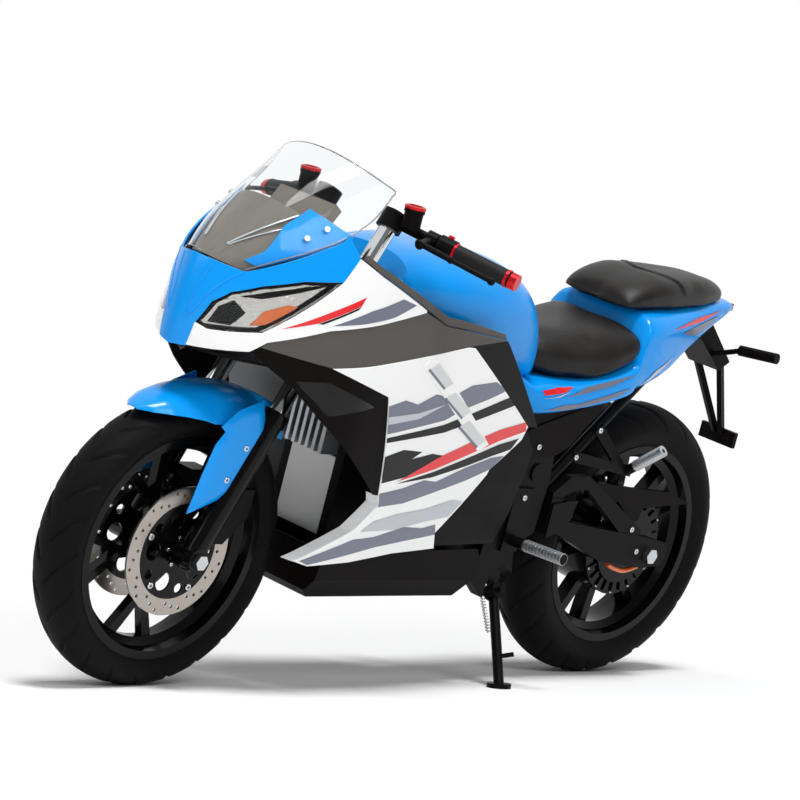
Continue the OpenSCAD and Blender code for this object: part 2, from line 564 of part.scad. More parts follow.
// windscreen and dash: rows from the base to the top edge
// columns: centre x, centre z, half width, sweep back at the edge, drop at the edge
screen_rows = [[1458, 884, 82, 52, 16], [1424, 920, 112, 62, 24], [1384, 962, 140, 76, 36], [1334, 1008, 160, 92, 46],
  [1272, 1060, 168, 92, 50], [1200, 1109, 166, 62, 42]];
function screen_grid(inset, from, to) = [for (i = [from : to]) let (r = screen_rows[i])
  [for (j = [-6 : 6]) let (v = j / 6)
    [(r[0] - r[3] * v * v - inset) * stretch, (r[2] - inset * 0.6) * v, r[1] - r[4] * v * v - inset * 0.7]]];
module windscreen() color("#c9d4dc") placed() skin(screen_grid(0, 0, 5), screen_grid(3, 0, 5));
module dash_cowl() color("#141517") placed() {
  skin(screen_grid(10, 0, 3), screen_grid(14, 0, 3));
  translate([1232 * stretch, -80, 925]) rotate([0, -35, 0]) cube([22, 160, 90]);
  rod([1225 * stretch, 0, 965], [1346 * stretch, 0, 975], 4);
}

// columns: x, half width, lower z, upper z, squareness
tank_rows = [[1052, 80, 838, 890, 2.2], [1040, 108, 815, 903, 2.4], [1000, 138, 785, 922, 2.6], [920, 158, 752, 940, 2.8],
  [840, 164, 732, 946, 2.8], [760, 160, 716, 943, 2.7], [680, 148, 704, 931, 2.6], [610, 130, 700, 905, 2.6],
  [560, 112, 700, 868, 2.6], [536, 98, 702, 825, 2.4], [526, 84, 706, 780, 2.2]];
rider_rows = [[520, 62, 724, 770, 2.4], [500, 86, 716, 784, 2.4], [440, 112, 700, 790, 2.5], [370, 134, 702, 798, 2.6],
  [290, 150, 726, 812, 2.6], [225, 150, 760, 822, 2.6], [190, 138, 786, 818, 2.4]];
pillion_rows = [[262, 60, 866, 886, 2.2], [248, 92, 856, 906, 2.4], [200, 112, 856, 922, 2.6], [120, 112, 862, 926, 2.6],
  [30, 96, 866, 926, 2.6], [-60, 72, 872, 922, 2.6], [-118, 50, 878, 914, 2.4], [-140, 30, 886, 904, 2.2]];
tail_rows = [[512, 128, 625, 668, 3], [480, 142, 622, 690, 3.4], [400, 150, 632, 698, 3.6], [300, 155, 652, 722, 3.6],
  [200, 150, 676, 764, 3.6], [184, 149, 680, 786, 3.4], [176, 144, 682, 858, 3.2], [100, 126, 706, 864, 3],
  [0, 96, 764, 872, 3], [-100, 66, 815, 880, 3], [-170, 44, 845, 880, 2.8], [-196, 32, 856, 876, 2.6]];
module tank_cover() color("#2457d6") placed() resize([0, 0, 0]) difference() {
  loft(rings(tank_rows, 28));
  both_sides() frame_spar();
  on_steering(stem_low) cylinder(r = head_r + side_gap, h = stem_high - stem_low);
  on_steering(stem_high - 110) intersection() {
    cylinder(r = swept_r, h = 320);
    translate([-58, -200, 0]) cube([400, 400, 320]);
  }
}
module rider_seat() color("#1b1b1d") placed() resize([0, 0, 0]) difference() {
  loft(rings(rider_rows, 28));
  loft(rings(tail_rows, 28));
}
module pillion_seat() color("#1b1b1d") placed() resize([0, 0, 0]) difference() {
  loft(rings(pillion_rows, 28));
  loft(rings(tail_rows, 28));
}
module tail_cowl() color("#2457d6") placed() resize([0, 0, 0]) difference() {
  loft(rings(tail_rows, 28));
  both_sides() subframe_rail(0.15);
  both_sides() frame_spar();
}
module tail_light() color("#a3121a") placed() translate([-206 * stretch, -26, 858]) cube([10 * stretch, 52, 16]);

plate_base = [12, 100, 36];
plate_bolt_half = 30;
plate_bolt_r = 3;
plate_z = 543;
module plate_bracket() color("#17181a") placed() {
  resize([0, 0, 0]) difference() {
    side_prism([[-60, 832], [-120, 832], [-222, 744], [-190, 722], [-100, 790]], -plate_half, plate_half);
    loft(rings(tail_rows, 28));
  }
  difference() {
    union() {
      for (m = [-1, 1]) beam([-196 * stretch, m * (plate_half - 8), 745], [plate_rear * stretch + 11, m * 9, plate_z + 26], 12, 14);
      translate([plate_rear * stretch, -plate_base[1] / 2, plate_z]) cube(plate_base);
    }
    for (m = [-1, 1]) translate([plate_rear * stretch - 1, m * plate_bolt_half, plate_z + plate_base[2] / 2])
      rotate([0, 90, 0]) cylinder(r = plate_bolt_r, h = plate_base[0] + 2);
  }
}
plate_half = 45;
module rear_signals() color("#17181a") placed() both_sides() {
  difference() {
    rod([-152 * stretch, plate_half - 5, 758], [-160 * stretch, 112, 788], 6);
    translate([-400 * stretch, -plate_half, 500]) cube([500 * stretch, 2 * plate_half, 400]);
  }
  rod([-160 * stretch, 110, 788], [-172 * stretch, 205, 798], 12);
}
module subframe_rail(gap = 0) rod([404 * stretch, frame_half - 13, 453], [146 * stretch, 100, 703], 12 + gap);
module subframe() color("#1a1b1d") placed() both_sides() difference() {
  subframe_rail();
  frame_side();
}

// stays that carry the body panels, cut flush to the panels' inner faces
stay_hub = [1340 * stretch, 0, 777];
stay_r = 8;
module body_stays() color("#1a1b1d") placed() resize([0, 0, 0]) {
  difference() {
    intersection() {
      union() {
        rod([1120 * stretch, 0, 777], stay_hub, stay_r);
        rod(stay_hub - [0, 300, 0], stay_hub + [0, 300, 0], stay_r);
        rod(stay_hub, stay_hub + [160, 0, -70], stay_r);
        rod(stay_hub - [0, 0, 76], stay_hub, stay_r);
        rod(stay_hub, [1372 * stretch, 0, 953], stay_r);
      }
      fair_core(skin_t);
    }
    on_steering(stem_low) cylinder(r = head_r, h = stem_high - stem_low);
    skin(screen_grid(4, 0, 3), screen_grid(14, 0, 3));
    under_plate();
  }
  intersection() {
    both_sides() rod(stay_hub + [0, 50, 0], [1450 * stretch, 150, 812], stay_r - 2);
    fair_core(40);
  }
  both_sides() {
    difference() {
      intersection() {
        rod([900 * stretch, frame_half - 10, 715], [900 * stretch, 300, 715], stay_r);
        fair_core(skin_t);
      }
      frame_spar();
    }
    difference() {
      intersection() {
        rod([1010 * stretch, 60, 775], [1010 * stretch, 300, 810], stay_r);
        fair_core(3 + skin_t);
      }
      frame_spar();
      loft(rings(tank_rows, 28));
    }
    difference() {
      intersection() {
        rod([650 * stretch, frame_half - 10, 672], [650 * stretch, 300, 672], stay_r);
        fair_core(5);
      }
      frame_spar();
    }
    intersection() {
      rod([660 * stretch, battery_half, 450], [660 * stretch, 300, 450], stay_r);
      fair_core(6 + skin_t);
    }
    intersection() {
      rod([800 * stretch, battery_half, 430], [800 * stretch, 300, 430], stay_r);
      fair_core(skin_t);
    }
  }
}
rail_w = 36;
rail_in = frame_half - frame_t - rail_w;
module cradle_rail(gap) translate([500 * stretch, rail_in - gap, 295 - gap])
  cube([500 * stretch, rail_w + gap, 30 + 2 * gap]);
module cradle() color("#1a1b1d") placed() {
  both_sides() cradle_rail(0);
  for (x = [640, 960]) translate([x * stretch, 0, 295]) {
    translate([-15, -rail_in - 1, 0]) cube([30, 2 * rail_in + 2, 30]);
    translate([0, 0, -78]) cylinder(r = 12, h = 79);
  }
}

// rear suspension
arm_out = 130;
block_half = frame_half - frame_t - 6;
module pivot_block() plan_prism([[335, -arm_out], [376, -arm_out], [376, -block_half], [450, -block_half],
  [450, block_half], [376, block_half], [376, arm_out], [335, arm_out]], 360, 440);
module swingarm_pivot() color("#151618") placed() {
  pivot_block();
  rod(pivot - [0, frame_half, 0], pivot + [0, frame_half, 0], pivot_r);
}
brace_in = 108;
brace_t = 20;
module arm_side(m) color("#151618") placed() scale([1, m, 1]) difference() {
  union() {
    side_prism([[335, 361], [335, 438], [300, 386], [-10, 350], [-55, 341], [-68, 314], [-52, 288], [20, 284], [160, 298]],
      arm_out - 30, arm_out);
    side_prism([[374, 441], [374, 452], [326, 488], [268, 491], [44, 372], [40, 340], [80, 340], [262, 460], [306, 456], [342, 441]],
      brace_in, brace_in + brace_t);
    side_prism([[300, 400], [300, 437], [333, 435], [333, 366], [319, 368]], arm_out - 4, arm_out + 5);
    side_prism([[293, 438], [318, 368], [372, 352], [372, 428]], arm_out + 0.3, arm_out + 5);
  }
  translate(rear_axle) rotate([90, 0, 0]) cylinder(r = axle_r, h = 400, center = true);
}
module swingarm_left() arm_side(1);
module swingarm_right() arm_side(-1);
module hugger() color("#141517") placed() both_sides()
  side_prism([[232, 472], [181, 468], [79, 459], [-48, 452], [-131, 427], [30, 415], [38, 385], [60, 382], [120, 428], [232, 432]],
    brace_in - 14, brace_in - 0.2);
module rear_shock() color("#8f1a1d") placed() difference() {
  shock_rods();
  pivot_block();
}
module shock_rods() {
  rod([492 * stretch, 0, 590], [446 * stretch, 0, 475], 30);
  rod([500 * stretch, 0, 600], [430 * stretch, 0, 440], 12);
  rod([500 * stretch, frame_t - frame_half, 600], [500 * stretch, frame_half - frame_t, 600], 14);
}
module rear_axle_bar() color("#b4b7ba") placed() on_axle(rear_axle) {
  cylinder(r = axle_r, h = 290, center = true);
  for (m = [-1, 1]) translate([0, 0, m * 138]) cylinder(r = 18, h = 14, center = true, $fn = 6);
  translate([0, 0, motor_half + 9]) cylinder(r = 16, h = 100 - motor_half - 9);
  translate([0, 0, -100]) cylinder(r = 16, h = 100 + rear_rotor_y - rotor_t - 1);
}
module on_rear(pts, y0, y1) translate(rear_axle + [0, y1, 0]) rotate([90, 0, 0]) linear_extrude(y1 - y0) polygon(pts);
module rear_caliper() color("#121314") placed() difference() {
  union() {
    on_rear([[70, 30], [112, 78], [146, 60], [150, 16], [80, -6]], -94, -44);
    on_rear([[72, 34], [96, 40], [110, 4], [80, -4]], -100, -90);
  }
  translate(rear_axle + [0, rear_rotor_y - rotor_t / 2, 0]) rotate([90, 0, 0])
    cylinder(r = rear_rotor_r + side_gap, h = rotor_t + 2 * side_gap, center = true, $fn = 96);
  translate(rear_axle + [0, rear_rotor_y + side_gap - 1, 0]) rotate([-90, 0, 0])
    cylinder(r = motor_r + side_gap + 1, h = 100, $fn = 96);
}
module rider_pegs() color("#2a2c2f") placed() both_sides() {
  side_prism([[440, 460], [500, 460], [500, 320], [450, 320]], frame_half, frame_half + 8);
  rod(peg_in, peg_out, peg_r);
}
module pillion_pegs() color("#2a2c2f") placed() both_sides() difference() {
  union() {
    side_prism([[332, 541], [322, 518], [122, 490], [122, 514]], 110, 120);
    side_prism([[282, 588], [258, 604], [146, 512], [168, 504]], 110, 120);
    rod([134 * stretch, 114, 500], [130 * stretch, 196, 574], 11);
  }
  subframe_rail();
}

// side stand
module side_stand() color("#161719") {
  placed() difference() {
    union() {
      rod(stand_pivot, stand_leg_tip, stand_r);
      rod(stand_pivot + 0.7 * (stand_leg_tip - stand_pivot), stand_pivot + 0.7 * (stand_leg_tip - stand_pivot) + [-22, 24, 14], 5);
      stand_frame() for (m = [-1, 1]) translate([0, 0, m * (stand_tab / 2 + 1 + 4) - 4]) cylinder(r = 17, h = 8);
    }
    stand_frame() translate([0, 0, -40]) cylinder(r = pin_r + running_gap, h = 80);
    stand_frame() translate([0, 0, -stand_tab / 2 - 1]) cylinder(r = 24, h = stand_tab + 2);
  }
  translate([stand_foot_x - centre_x, stand_foot_y - centre_y, 0]) cylinder(r = 26, h = 10);
}
module stand_spring() color("#b4b7ba") placed() rod(stand_pivot + [40, 8, -10], stand_pivot + 90 * stand_dir + [24, 0, 0], 6);

front_tyre();
front_wheel();
front_rotors();
front_carriers();
rear_tyre();
rear_wheel();
rear_rotor();
triple_clamp();
top_clamp();
fork_tubes();
fork_sliders();
front_axle_bar();
handlebars();
grips();
bar_ends();
levers();
reservoirs();
front_fender();
front_calipers();
head_tube();
frame_left();
frame_right();
battery_box();
heat_sink();
belly_pan();
nose_cowl();
upper_panels();
wedge_panels();
side_fairings();
knee_pads();
side_covers();
front_signals();
headlight_lenses();
headlight_bowls();
inner_panels();
under_nose();
windscreen();
dash_cowl();
tank_cover();
rider_seat();
pillion_seat();
tail_cowl();
tail_light();
plate_bracket();
rear_signals();
subframe();
body_stays();
cradle();
swingarm_pivot();
swingarm_left();
swingarm_right();
hugger();
rear_shock();
rear_axle_bar();
rear_caliper();
rider_pegs();
pillion_pegs();
side_stand();
stand_spring();
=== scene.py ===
"""Dresses the electric sport motorcycle: finishes, body skins, tyre tread, seats, graphics and fixings."""

import logging
import math
from collections.abc import Sequence
from dataclasses import dataclass
from enum import Enum

import bmesh
import bpy
import numpy as np
from mathutils import Matrix, Vector
from mathutils.bvhtree import BVHTree
from mathutils.geometry import delaunay_2d_cdt


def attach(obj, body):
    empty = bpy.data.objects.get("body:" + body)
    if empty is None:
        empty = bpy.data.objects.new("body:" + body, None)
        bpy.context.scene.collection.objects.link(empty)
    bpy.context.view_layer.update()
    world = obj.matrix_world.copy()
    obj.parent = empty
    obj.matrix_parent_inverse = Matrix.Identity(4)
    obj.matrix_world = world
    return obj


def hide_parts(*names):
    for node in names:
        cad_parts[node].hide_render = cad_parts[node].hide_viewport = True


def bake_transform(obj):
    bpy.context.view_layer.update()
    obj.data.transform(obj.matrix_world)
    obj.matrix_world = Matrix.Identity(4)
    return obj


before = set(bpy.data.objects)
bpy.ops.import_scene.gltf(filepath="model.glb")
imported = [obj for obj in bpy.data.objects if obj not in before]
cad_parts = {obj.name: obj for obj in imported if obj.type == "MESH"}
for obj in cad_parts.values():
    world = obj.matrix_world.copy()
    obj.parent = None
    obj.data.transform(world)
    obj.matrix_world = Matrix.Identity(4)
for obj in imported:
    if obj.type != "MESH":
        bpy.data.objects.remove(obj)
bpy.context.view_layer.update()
logging.basicConfig(level=logging.INFO, format="%(message)s")
LOG = logging.getLogger("scene")

Point2 = tuple[float, float]
Point3 = tuple[float, float, float]
Outline = Sequence[Point2]
Rows = Sequence[tuple[float, ...]]
Faces = list[list[int]]
Piece = bpy.types.Object

MM = 0.001
SIDES = (("left", 1.0), ("right", -1.0))
# Axles as station and height, and tyre radii, in millimetres of the upright machine.
FRONT_AXLE = (1375.0, 292.5)
FRONT_RADIUS = 293.0
REAR_AXLE = (0.0, 314.0)
REAR_RADIUS = 314.0


def linear(hex_code: str) -> tuple[float, float, float, float]:
    """Turns an sRGB hex code into linear colour.

    Args:
        hex_code: six hex digits.

    Returns:
        Linear red, green, blue and alpha.
    """
    parts = [int(hex_code[k:k + 2], 16) / 255 for k in (0, 2, 4)]
    lin = [p / 12.92 if p <= 0.04045 else ((p + 0.055) / 1.055) ** 2.4 for p in parts]
    return (lin[0], lin[1], lin[2], 1.0)


def add_node(tree: bpy.types.NodeTree, kind: str, settings: dict, links: dict) -> bpy.types.Node:
    """Adds one shader node.

    Args:
        tree: the material's node tree.
        kind: node type name.
        settings: attribute name, or input name or number, to constant value.
        links: input name or number to (node, output name or number).

    Returns:
        The new node.
    """
    made = tree.nodes.new(kind)
    for name, value in settings.items():
        if isinstance(name, int) or name in made.inputs:
            made.inputs[name].default_value = value
        else:
            setattr(made, name, value)
    for name, (source, output) in links.items():
        tree.links.new(source.outputs[output], made.inputs[name])
    return made


@dataclass(frozen=True)
class Finish:
    """One surface finish, named for the real material and process."""

    name: str
    hex_code: str
    metallic: float = 0.0
    roughness: float = 0.4
    ior: float = 1.5
    coat: float = 0.0
    coat_rough: float = 0.03
    clear: float = 0.0
    shine: float = 0.5
    mottle: float = 0.03
    tone: float = 0.05
    cloud_mm: float = 110.0
    cloud_detail: float = 4.0
    grain_mm: float = 0.0
    grain_depth: float = 0.0
    grain_detail: float = 3.0
    bump: float = 0.6

    def material(self) -> bpy.types.Material:
        """Builds the material, or returns the one already built.

        Returns:
            The material, with its colour and gloss clouded and its grain as bump.
        """
        known = bpy.data.materials.get(self.name)
        if known:
            return known
        mat = bpy.data.materials.new(self.name)
        mat.use_nodes = True
        tree = mat.node_tree
        base = tree.nodes["Principled BSDF"]
        colour = linear(self.hex_code)
        for socket, value in (("Base Color", colour), ("Metallic", self.metallic), ("IOR", self.ior),
                              ("Specular IOR Level", self.shine), ("Coat Weight", self.coat),
                              ("Coat Roughness", self.coat_rough), ("Transmission Weight", self.clear)):
            base.inputs[socket].default_value = value
        place = add_node(tree, "ShaderNodeTexCoord", {}, {})
        cloud = add_node(tree, "ShaderNodeTexNoise",
                         {"Scale": 1.0 / (self.cloud_mm * MM), "Detail": self.cloud_detail},
                         {"Vector": (place, "Object")})
        gloss = add_node(tree, "ShaderNodeMapRange", {"To Min": max(0.0, self.roughness - self.mottle),
                                                      "To Max": self.roughness + self.mottle},
                         {"Value": (cloud, "Fac")})
        tree.links.new(gloss.outputs["Result"], base.inputs["Roughness"])
        if self.clear == 0:
            ramp = add_node(tree, "ShaderNodeValToRGB", {}, {"Fac": (cloud, "Fac")})
            for element, share in zip(ramp.color_ramp.elements, (1 - self.tone, 1 + self.tone)):
                element.color = [min(1.0, c * share) for c in colour[:3]] + [1.0]
            tree.links.new(ramp.outputs["Color"], base.inputs["Base Color"])
        if self.grain_mm > 0:
            noise = add_node(tree, "ShaderNodeTexNoise",
                             {"Scale": 1.0 / (self.grain_mm * MM), "Detail": self.grain_detail},
                             {"Vector": (place, "Object")})
            bump = add_node(tree, "ShaderNodeBump",
                            {"Strength": self.bump, "Distance": self.grain_depth * MM},
                            {"Height": (noise, "Fac")})
            tree.links.new(bump.outputs["Normal"], base.inputs["Normal"])
        return mat


class Paint(Enum):
    """Every finish on the machine."""

    # Sprayed and lacquered: deep gloss whose highlights waver over a slight orange peel.
    BLUE = Finish("blue two-pack paint on moulded plastic", "0594ec", roughness=0.22, coat=0.1, shine=0.2,
                  grain_mm=9.0, grain_depth=0.03)
    # The same spray in white: soft bright highlights, the orange peel hardly seen.
    WHITE = Finish("white two-pack paint on moulded plastic", "f0f1f0", roughness=0.25, coat=0.5, tone=0.01,
                   grain_mm=9.0, grain_depth=0.03)
    # Cut vinyl films under lacquer: even colour, crisp edges and a gloss a little softer than the paint. The
    # slate grey also stands as painted shade in the louvre slots.
    GREY = Finish("slate grey film graphic", "666a7c", roughness=0.3, coat=0.3)
    PALE = Finish("pale grey film graphic", "b9bdc4", roughness=0.3, coat=0.3)
    INK = Finish("black film graphic", "101012", roughness=0.3, coat=0.05, shine=0.2)
    RED = Finish("red film graphic", "e0141c", roughness=0.3, coat=0.3)
    # Unpainted moulding with a fine spark texture, drawn coarser than it is: broad dull highlights. On the
    # wedge's upper facet this lighter charcoal is painted light.
    CHARCOAL = Finish("charcoal moulded plastic", "565350", roughness=0.5, mottle=0.05, shine=0.12,
                      grain_mm=1.8, grain_depth=0.04)
    # Moulded with raised pips to grip a knee: a rough, light-swallowing black.
    PAD = Finish("textured black moulded plastic", "1c1b1c", roughness=0.6, shine=0.12, grain_mm=2.4,
                 grain_depth=0.9)
    # Plain black moulding: low satin gloss that varies where the plastic flowed.
    BLACK = Finish("black moulded plastic", "0c0807", roughness=0.42, mottle=0.05, shine=0.06)
    # Stoved enamel over a casting: hard gloss that rounds off the cast corners.
    GLOSS = Finish("gloss black enamel on cast alloy", "060607", roughness=0.2, coat=0.08, shine=0.12)
    # Baked powder: an even satin with a fine pebble, drawn coarser than it is.
    SATIN = Finish("satin black powder coat on steel", "0c0a0a", roughness=0.38, shine=0.08, grain_mm=1.2,
                   grain_depth=0.05)
    # Vulcanised rubber: dull black with a dusty bloom, its pores drawn coarser than they are.
    RUBBER = Finish("carbon black tyre rubber", "0e0d0d", roughness=0.62, mottle=0.06, tone=0.15, shine=0.08,
                    grain_mm=1.6, grain_depth=0.12)
    # Soft rubber from a textured mould: dull, with small lumps that catch the light.
    GRIP = Finish("moulded grip rubber", "0f0f10", roughness=0.65, shine=0.3, grain_mm=2.2, grain_depth=0.3)
    # Embossed vinyl: leather-like pebbles and a soft sheen, worn smoother in patches.
    VINYL = Finish("grained black seat vinyl", "14110f", roughness=0.45, mottle=0.07, tone=0.12, shine=0.3,
                   grain_mm=2.0, grain_depth=0.18)
    # Ground and heat-tinted: warm grey metal with a slightly patchy gloss.
    STEEL = Finish("ground stainless steel", "aba49c", metallic=1.0, roughness=0.28, mottle=0.06)
    # Plated and polished: a clean mirror.
    CHROME = Finish("hard chrome on steel tube", "d4d6d8", metallic=1.0, roughness=0.1, tone=0.02)
    # Barrel plated: bright, slightly milky metal.
    ZINC = Finish("zinc plated steel", "c3c6c8", metallic=1.0, roughness=0.25, cloud_mm=20.0)
    # Sand cast and left bare: pale metal with a fine pitted skin, drawn coarser than it is.
    ALLOY = Finish("bare cast alloy", "c4c7ca", metallic=1.0, roughness=0.42, grain_mm=1.5, grain_depth=0.08)
    # Coated sheet: a flat pale silver with little reflection.
    SILVER = Finish("silver coated alloy sheet", "d2d3d1", metallic=0.25, roughness=0.4, tone=0.03)
    # Dyed oxide over turned metal: clear red with a metal glint.
    ANODISED = Finish("red anodised alloy", "cf1420", metallic=0.7, roughness=0.3)
    # Moulded clear: almost invisible but for its reflections. A low IOR stands for a thin sheet.
    SCREEN = Finish("clear moulded polycarbonate", "f6f9fa", roughness=0.02, mottle=0.01, ior=1.15, clear=1.0)
    # A trimmed and polished edge: the sheet seen through its length, as a thin grey line.
    EDGE = Finish("polished polycarbonate edge", "8f9498", roughness=0.15, coat=0.4)
    # Moulded clear over a lamp: a hard, bright skin.
    LENS = Finish("clear lamp polycarbonate", "f7f9fa", roughness=0.02, mottle=0.01, ior=1.2, clear=1.0)
    # Vacuum coated over facets: broken mirror glints.
    MIRROR = Finish("aluminised reflector", "c6c2bc", metallic=1.0, roughness=0.16, grain_mm=8.0,
                    grain_depth=4.0)
    # Tinted lamp moulding: strong colour under a wet gloss.
    AMBER = Finish("amber lamp plastic", "d8641a", roughness=0.2, coat=0.5)
    # Moulded in the mass and lightly textured: a flat warm grey behind the screen.
    DASH = Finish("warm grey moulded plastic", "7a736a", roughness=0.55, mottle=0.05, shine=0.2, grain_mm=1.8,
                  grain_depth=0.05)
    # White moulding greyed as painted shade, on the louvres and the turned-in edges: a duller, greyer white
    # than the paint.
    SHADED_WHITE = Finish("white plastic greyed as painted shade", "cfd1d3", roughness=0.4, tone=0.03)
    # Tinted red lens: dark when it is not lit.
    LAMP = Finish("red lamp lens", "7c0d12", roughness=0.1, coat=0.6)


@dataclass(frozen=True)
class Placement:
    """Upright machine frame to the leaned row frame."""

    lean_deg: float = 13.0
    centre: Point2 = (0.674, 0.1914551)
    lift: float = 0.0024407

    def matrix(self) -> Matrix:
        """Returns the matrix from upright metres to row metres."""
        shift = Matrix.Translation((-self.centre[0], -self.centre[1], self.lift))
        return shift @ Matrix.Rotation(math.radians(-self.lean_deg), 4, "X")


LEAN = Placement().matrix()


def mirrored(p: Vector, side: float) -> Vector:
    """Returns a point of the left side as it lies on the given side, 1 for left and -1 for right."""
    return Vector((p.x, p.y * side, p.z))


def spline(a: float | Vector, b: float | Vector, c: float | Vector, d: float | Vector,
           t: float) -> float | Vector:
    """Draws a smooth curve through four values.

    Args:
        a: value before the stretch.
        b: value at its start.
        c: value at its end.
        d: value after it.
        t: way along the stretch, 0 to 1.

    Returns:
        The value on the curve.
    """
    bend = (2 * a - 5 * b + 4 * c - d) * t ** 2
    return 0.5 * (2 * b + (c - a) * t + bend + (3 * b - a - 3 * c + d) * t ** 3)


def grid_faces(rows: int, cols: int, wrap: bool, start: int = 0) -> Faces:
    """Joins rows of points into four-sided faces.

    Args:
        rows: number of rows.
        cols: points in a row.
        wrap: whether the last point of a row joins the first.
        start: number of the first point.

    Returns:
        Index lists.
    """
    faces = []
    for r in range(rows - 1):
        near = start + r * cols
        for k in range(cols if wrap else cols - 1):
            after = (k + 1) % cols
            faces.append([near + k, near + after, near + cols + after, near + cols + k])
    return faces


def tube_faces(rows: int, cols: int) -> Faces:
    """Returns the faces of a tube of closed rings with both ends shut."""
    ends = [list(range(cols))[::-1], list(range((rows - 1) * cols, rows * cols))]
    return grid_faces(rows, cols, True) + ends


def tree_of(piece: Piece) -> BVHTree:
    """Returns a search tree of a piece's faces, in the piece's own frame."""
    return BVHTree.FromPolygons([v.co for v in piece.data.vertices],
                                [list(f.vertices) for f in piece.data.polygons])


class Shop:
    """Makes mesh objects and sets their shading, place and finish."""

    @staticmethod
    def add(name: str, data: bpy.types.ID) -> Piece:
        """Adds an object to the scene.

        Args:
            name: object name.
            data: its mesh, light or camera.

        Returns:
            The new object.
        """
        made = bpy.data.objects.new(name, data)
        bpy.context.scene.collection.objects.link(made)
        return made

    @staticmethod
    def mesh(name: str, verts: list[Vector], faces: Faces, finish: Paint, body: str, slot: str,
             angle: float = 32.0) -> Piece:
        """Makes one mesh piece in the upright frame and ties it to its body.

        Args:
            name: piece name.
            verts: points in metres, upright frame.
            faces: index lists.
            finish: surface finish.
            body: CAD body it rides on, empty to tie it to none.
            slot: material slot in the record; not used.
            angle: edges sharper than this stay sharp, in degrees.

        Returns:
            The new object.
        """
        data = bpy.data.meshes.new(name)
        data.from_pydata([tuple(v) for v in verts], [], faces)
        data.validate()
        made = Shop.add(name, data)
        made.matrix_world = LEAN
        Shop.smooth(made, angle)
        made.data.materials.append(finish.value.material())
        bpy.context.view_layer.update()
        if body:
            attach(made, body)
        LOG.info("piece %s: %d faces", name, len(data.polygons))
        return made

    @staticmethod
    def smooth(made: Piece, angle: float) -> None:
        """Shades a mesh smooth except at sharp edges.

        Args:
            made: mesh object.
            angle: sharp edge limit in degrees.
        """
        build = bmesh.new()
        build.from_mesh(made.data)
        bmesh.ops.remove_doubles(build, verts=build.verts, dist=1e-6)
        bmesh.ops.recalc_face_normals(build, faces=build.faces)
        for face in build.faces:
            face.smooth = True
        limit = math.radians(angle)
        for edge in build.edges:
            edge.smooth = len(edge.link_faces) == 2 and edge.calc_face_angle(0.0) < limit
        build.to_mesh(made.data)
        build.free()

    @staticmethod
    def modifier(made: Piece, kind: str, **settings: object) -> bpy.types.Modifier:
        """Adds a modifier with its settings.

        Args:
            made: object to change.
            kind: modifier type.
            settings: attribute values.

        Returns:
            The modifier.
        """
        mod = made.modifiers.new(kind.lower(), kind)
        for name, value in settings.items():
            setattr(mod, name, value)
        return mod

    @staticmethod
    def bevel(made: Piece, width: float, limit: float = 50.0) -> None:
        """Rounds a piece's sharp edges by a width in millimetres, where they turn more than limit degrees."""
        Shop.modifier(made, "BEVEL", width=width * MM, segments=2, limit_method="ANGLE",
                      angle_limit=math.radians(limit))

    @staticmethod
    def thicken(made: Piece, wall: float, offset: float = -1.0) -> None:
        """Gives a sheet its wall in millimetres, inwards at offset -1 and to both sides at 0."""
        Shop.modifier(made, "SOLIDIFY", thickness=wall * MM, offset=offset)

    @staticmethod
    def carve(made: Piece, verts: list[Vector], faces: Faces, angle: float = 45.0) -> None:
        """Cuts a closed form out of a piece and keeps the result as its mesh.

        Args:
            made: piece to cut.
            verts: points of the form in metres, in the piece's frame.
            faces: index lists of the form.
            angle: edges sharper than this stay sharp, in degrees.
        """
        data = bpy.data.meshes.new("cutter")
        data.from_pydata([tuple(v) for v in verts], [], faces)
        cutter = Shop.add("cutter", data)
        cutter.matrix_world = made.matrix_world
        cut = Shop.modifier(made, "BOOLEAN", operation="DIFFERENCE", object=cutter, solver="EXACT")
        bpy.context.view_layer.update()
        shaped = bpy.data.meshes.new_from_object(made.evaluated_get(bpy.context.evaluated_depsgraph_get()))
        made.modifiers.remove(cut)
        made.data = shaped
        bpy.data.objects.remove(cutter)
        bpy.data.meshes.remove(data)
        Shop.smooth(made, angle)

    @staticmethod
    def dress(paint: Paint, bevel_mm: float, nodes: Sequence[str]) -> None:
        """Gives CAD nodes their finish and softens their edges.

        Args:
            paint: the finish.
            bevel_mm: edge rounding.
            nodes: node names.
        """
        for name in nodes:
            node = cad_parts[name]
            node.data.materials.clear()
            node.data.materials.append(paint.value.material())
            Shop.bevel(node, bevel_mm, limit=40.0)
            LOG.info("finish %s: %s", name, paint.value.name)


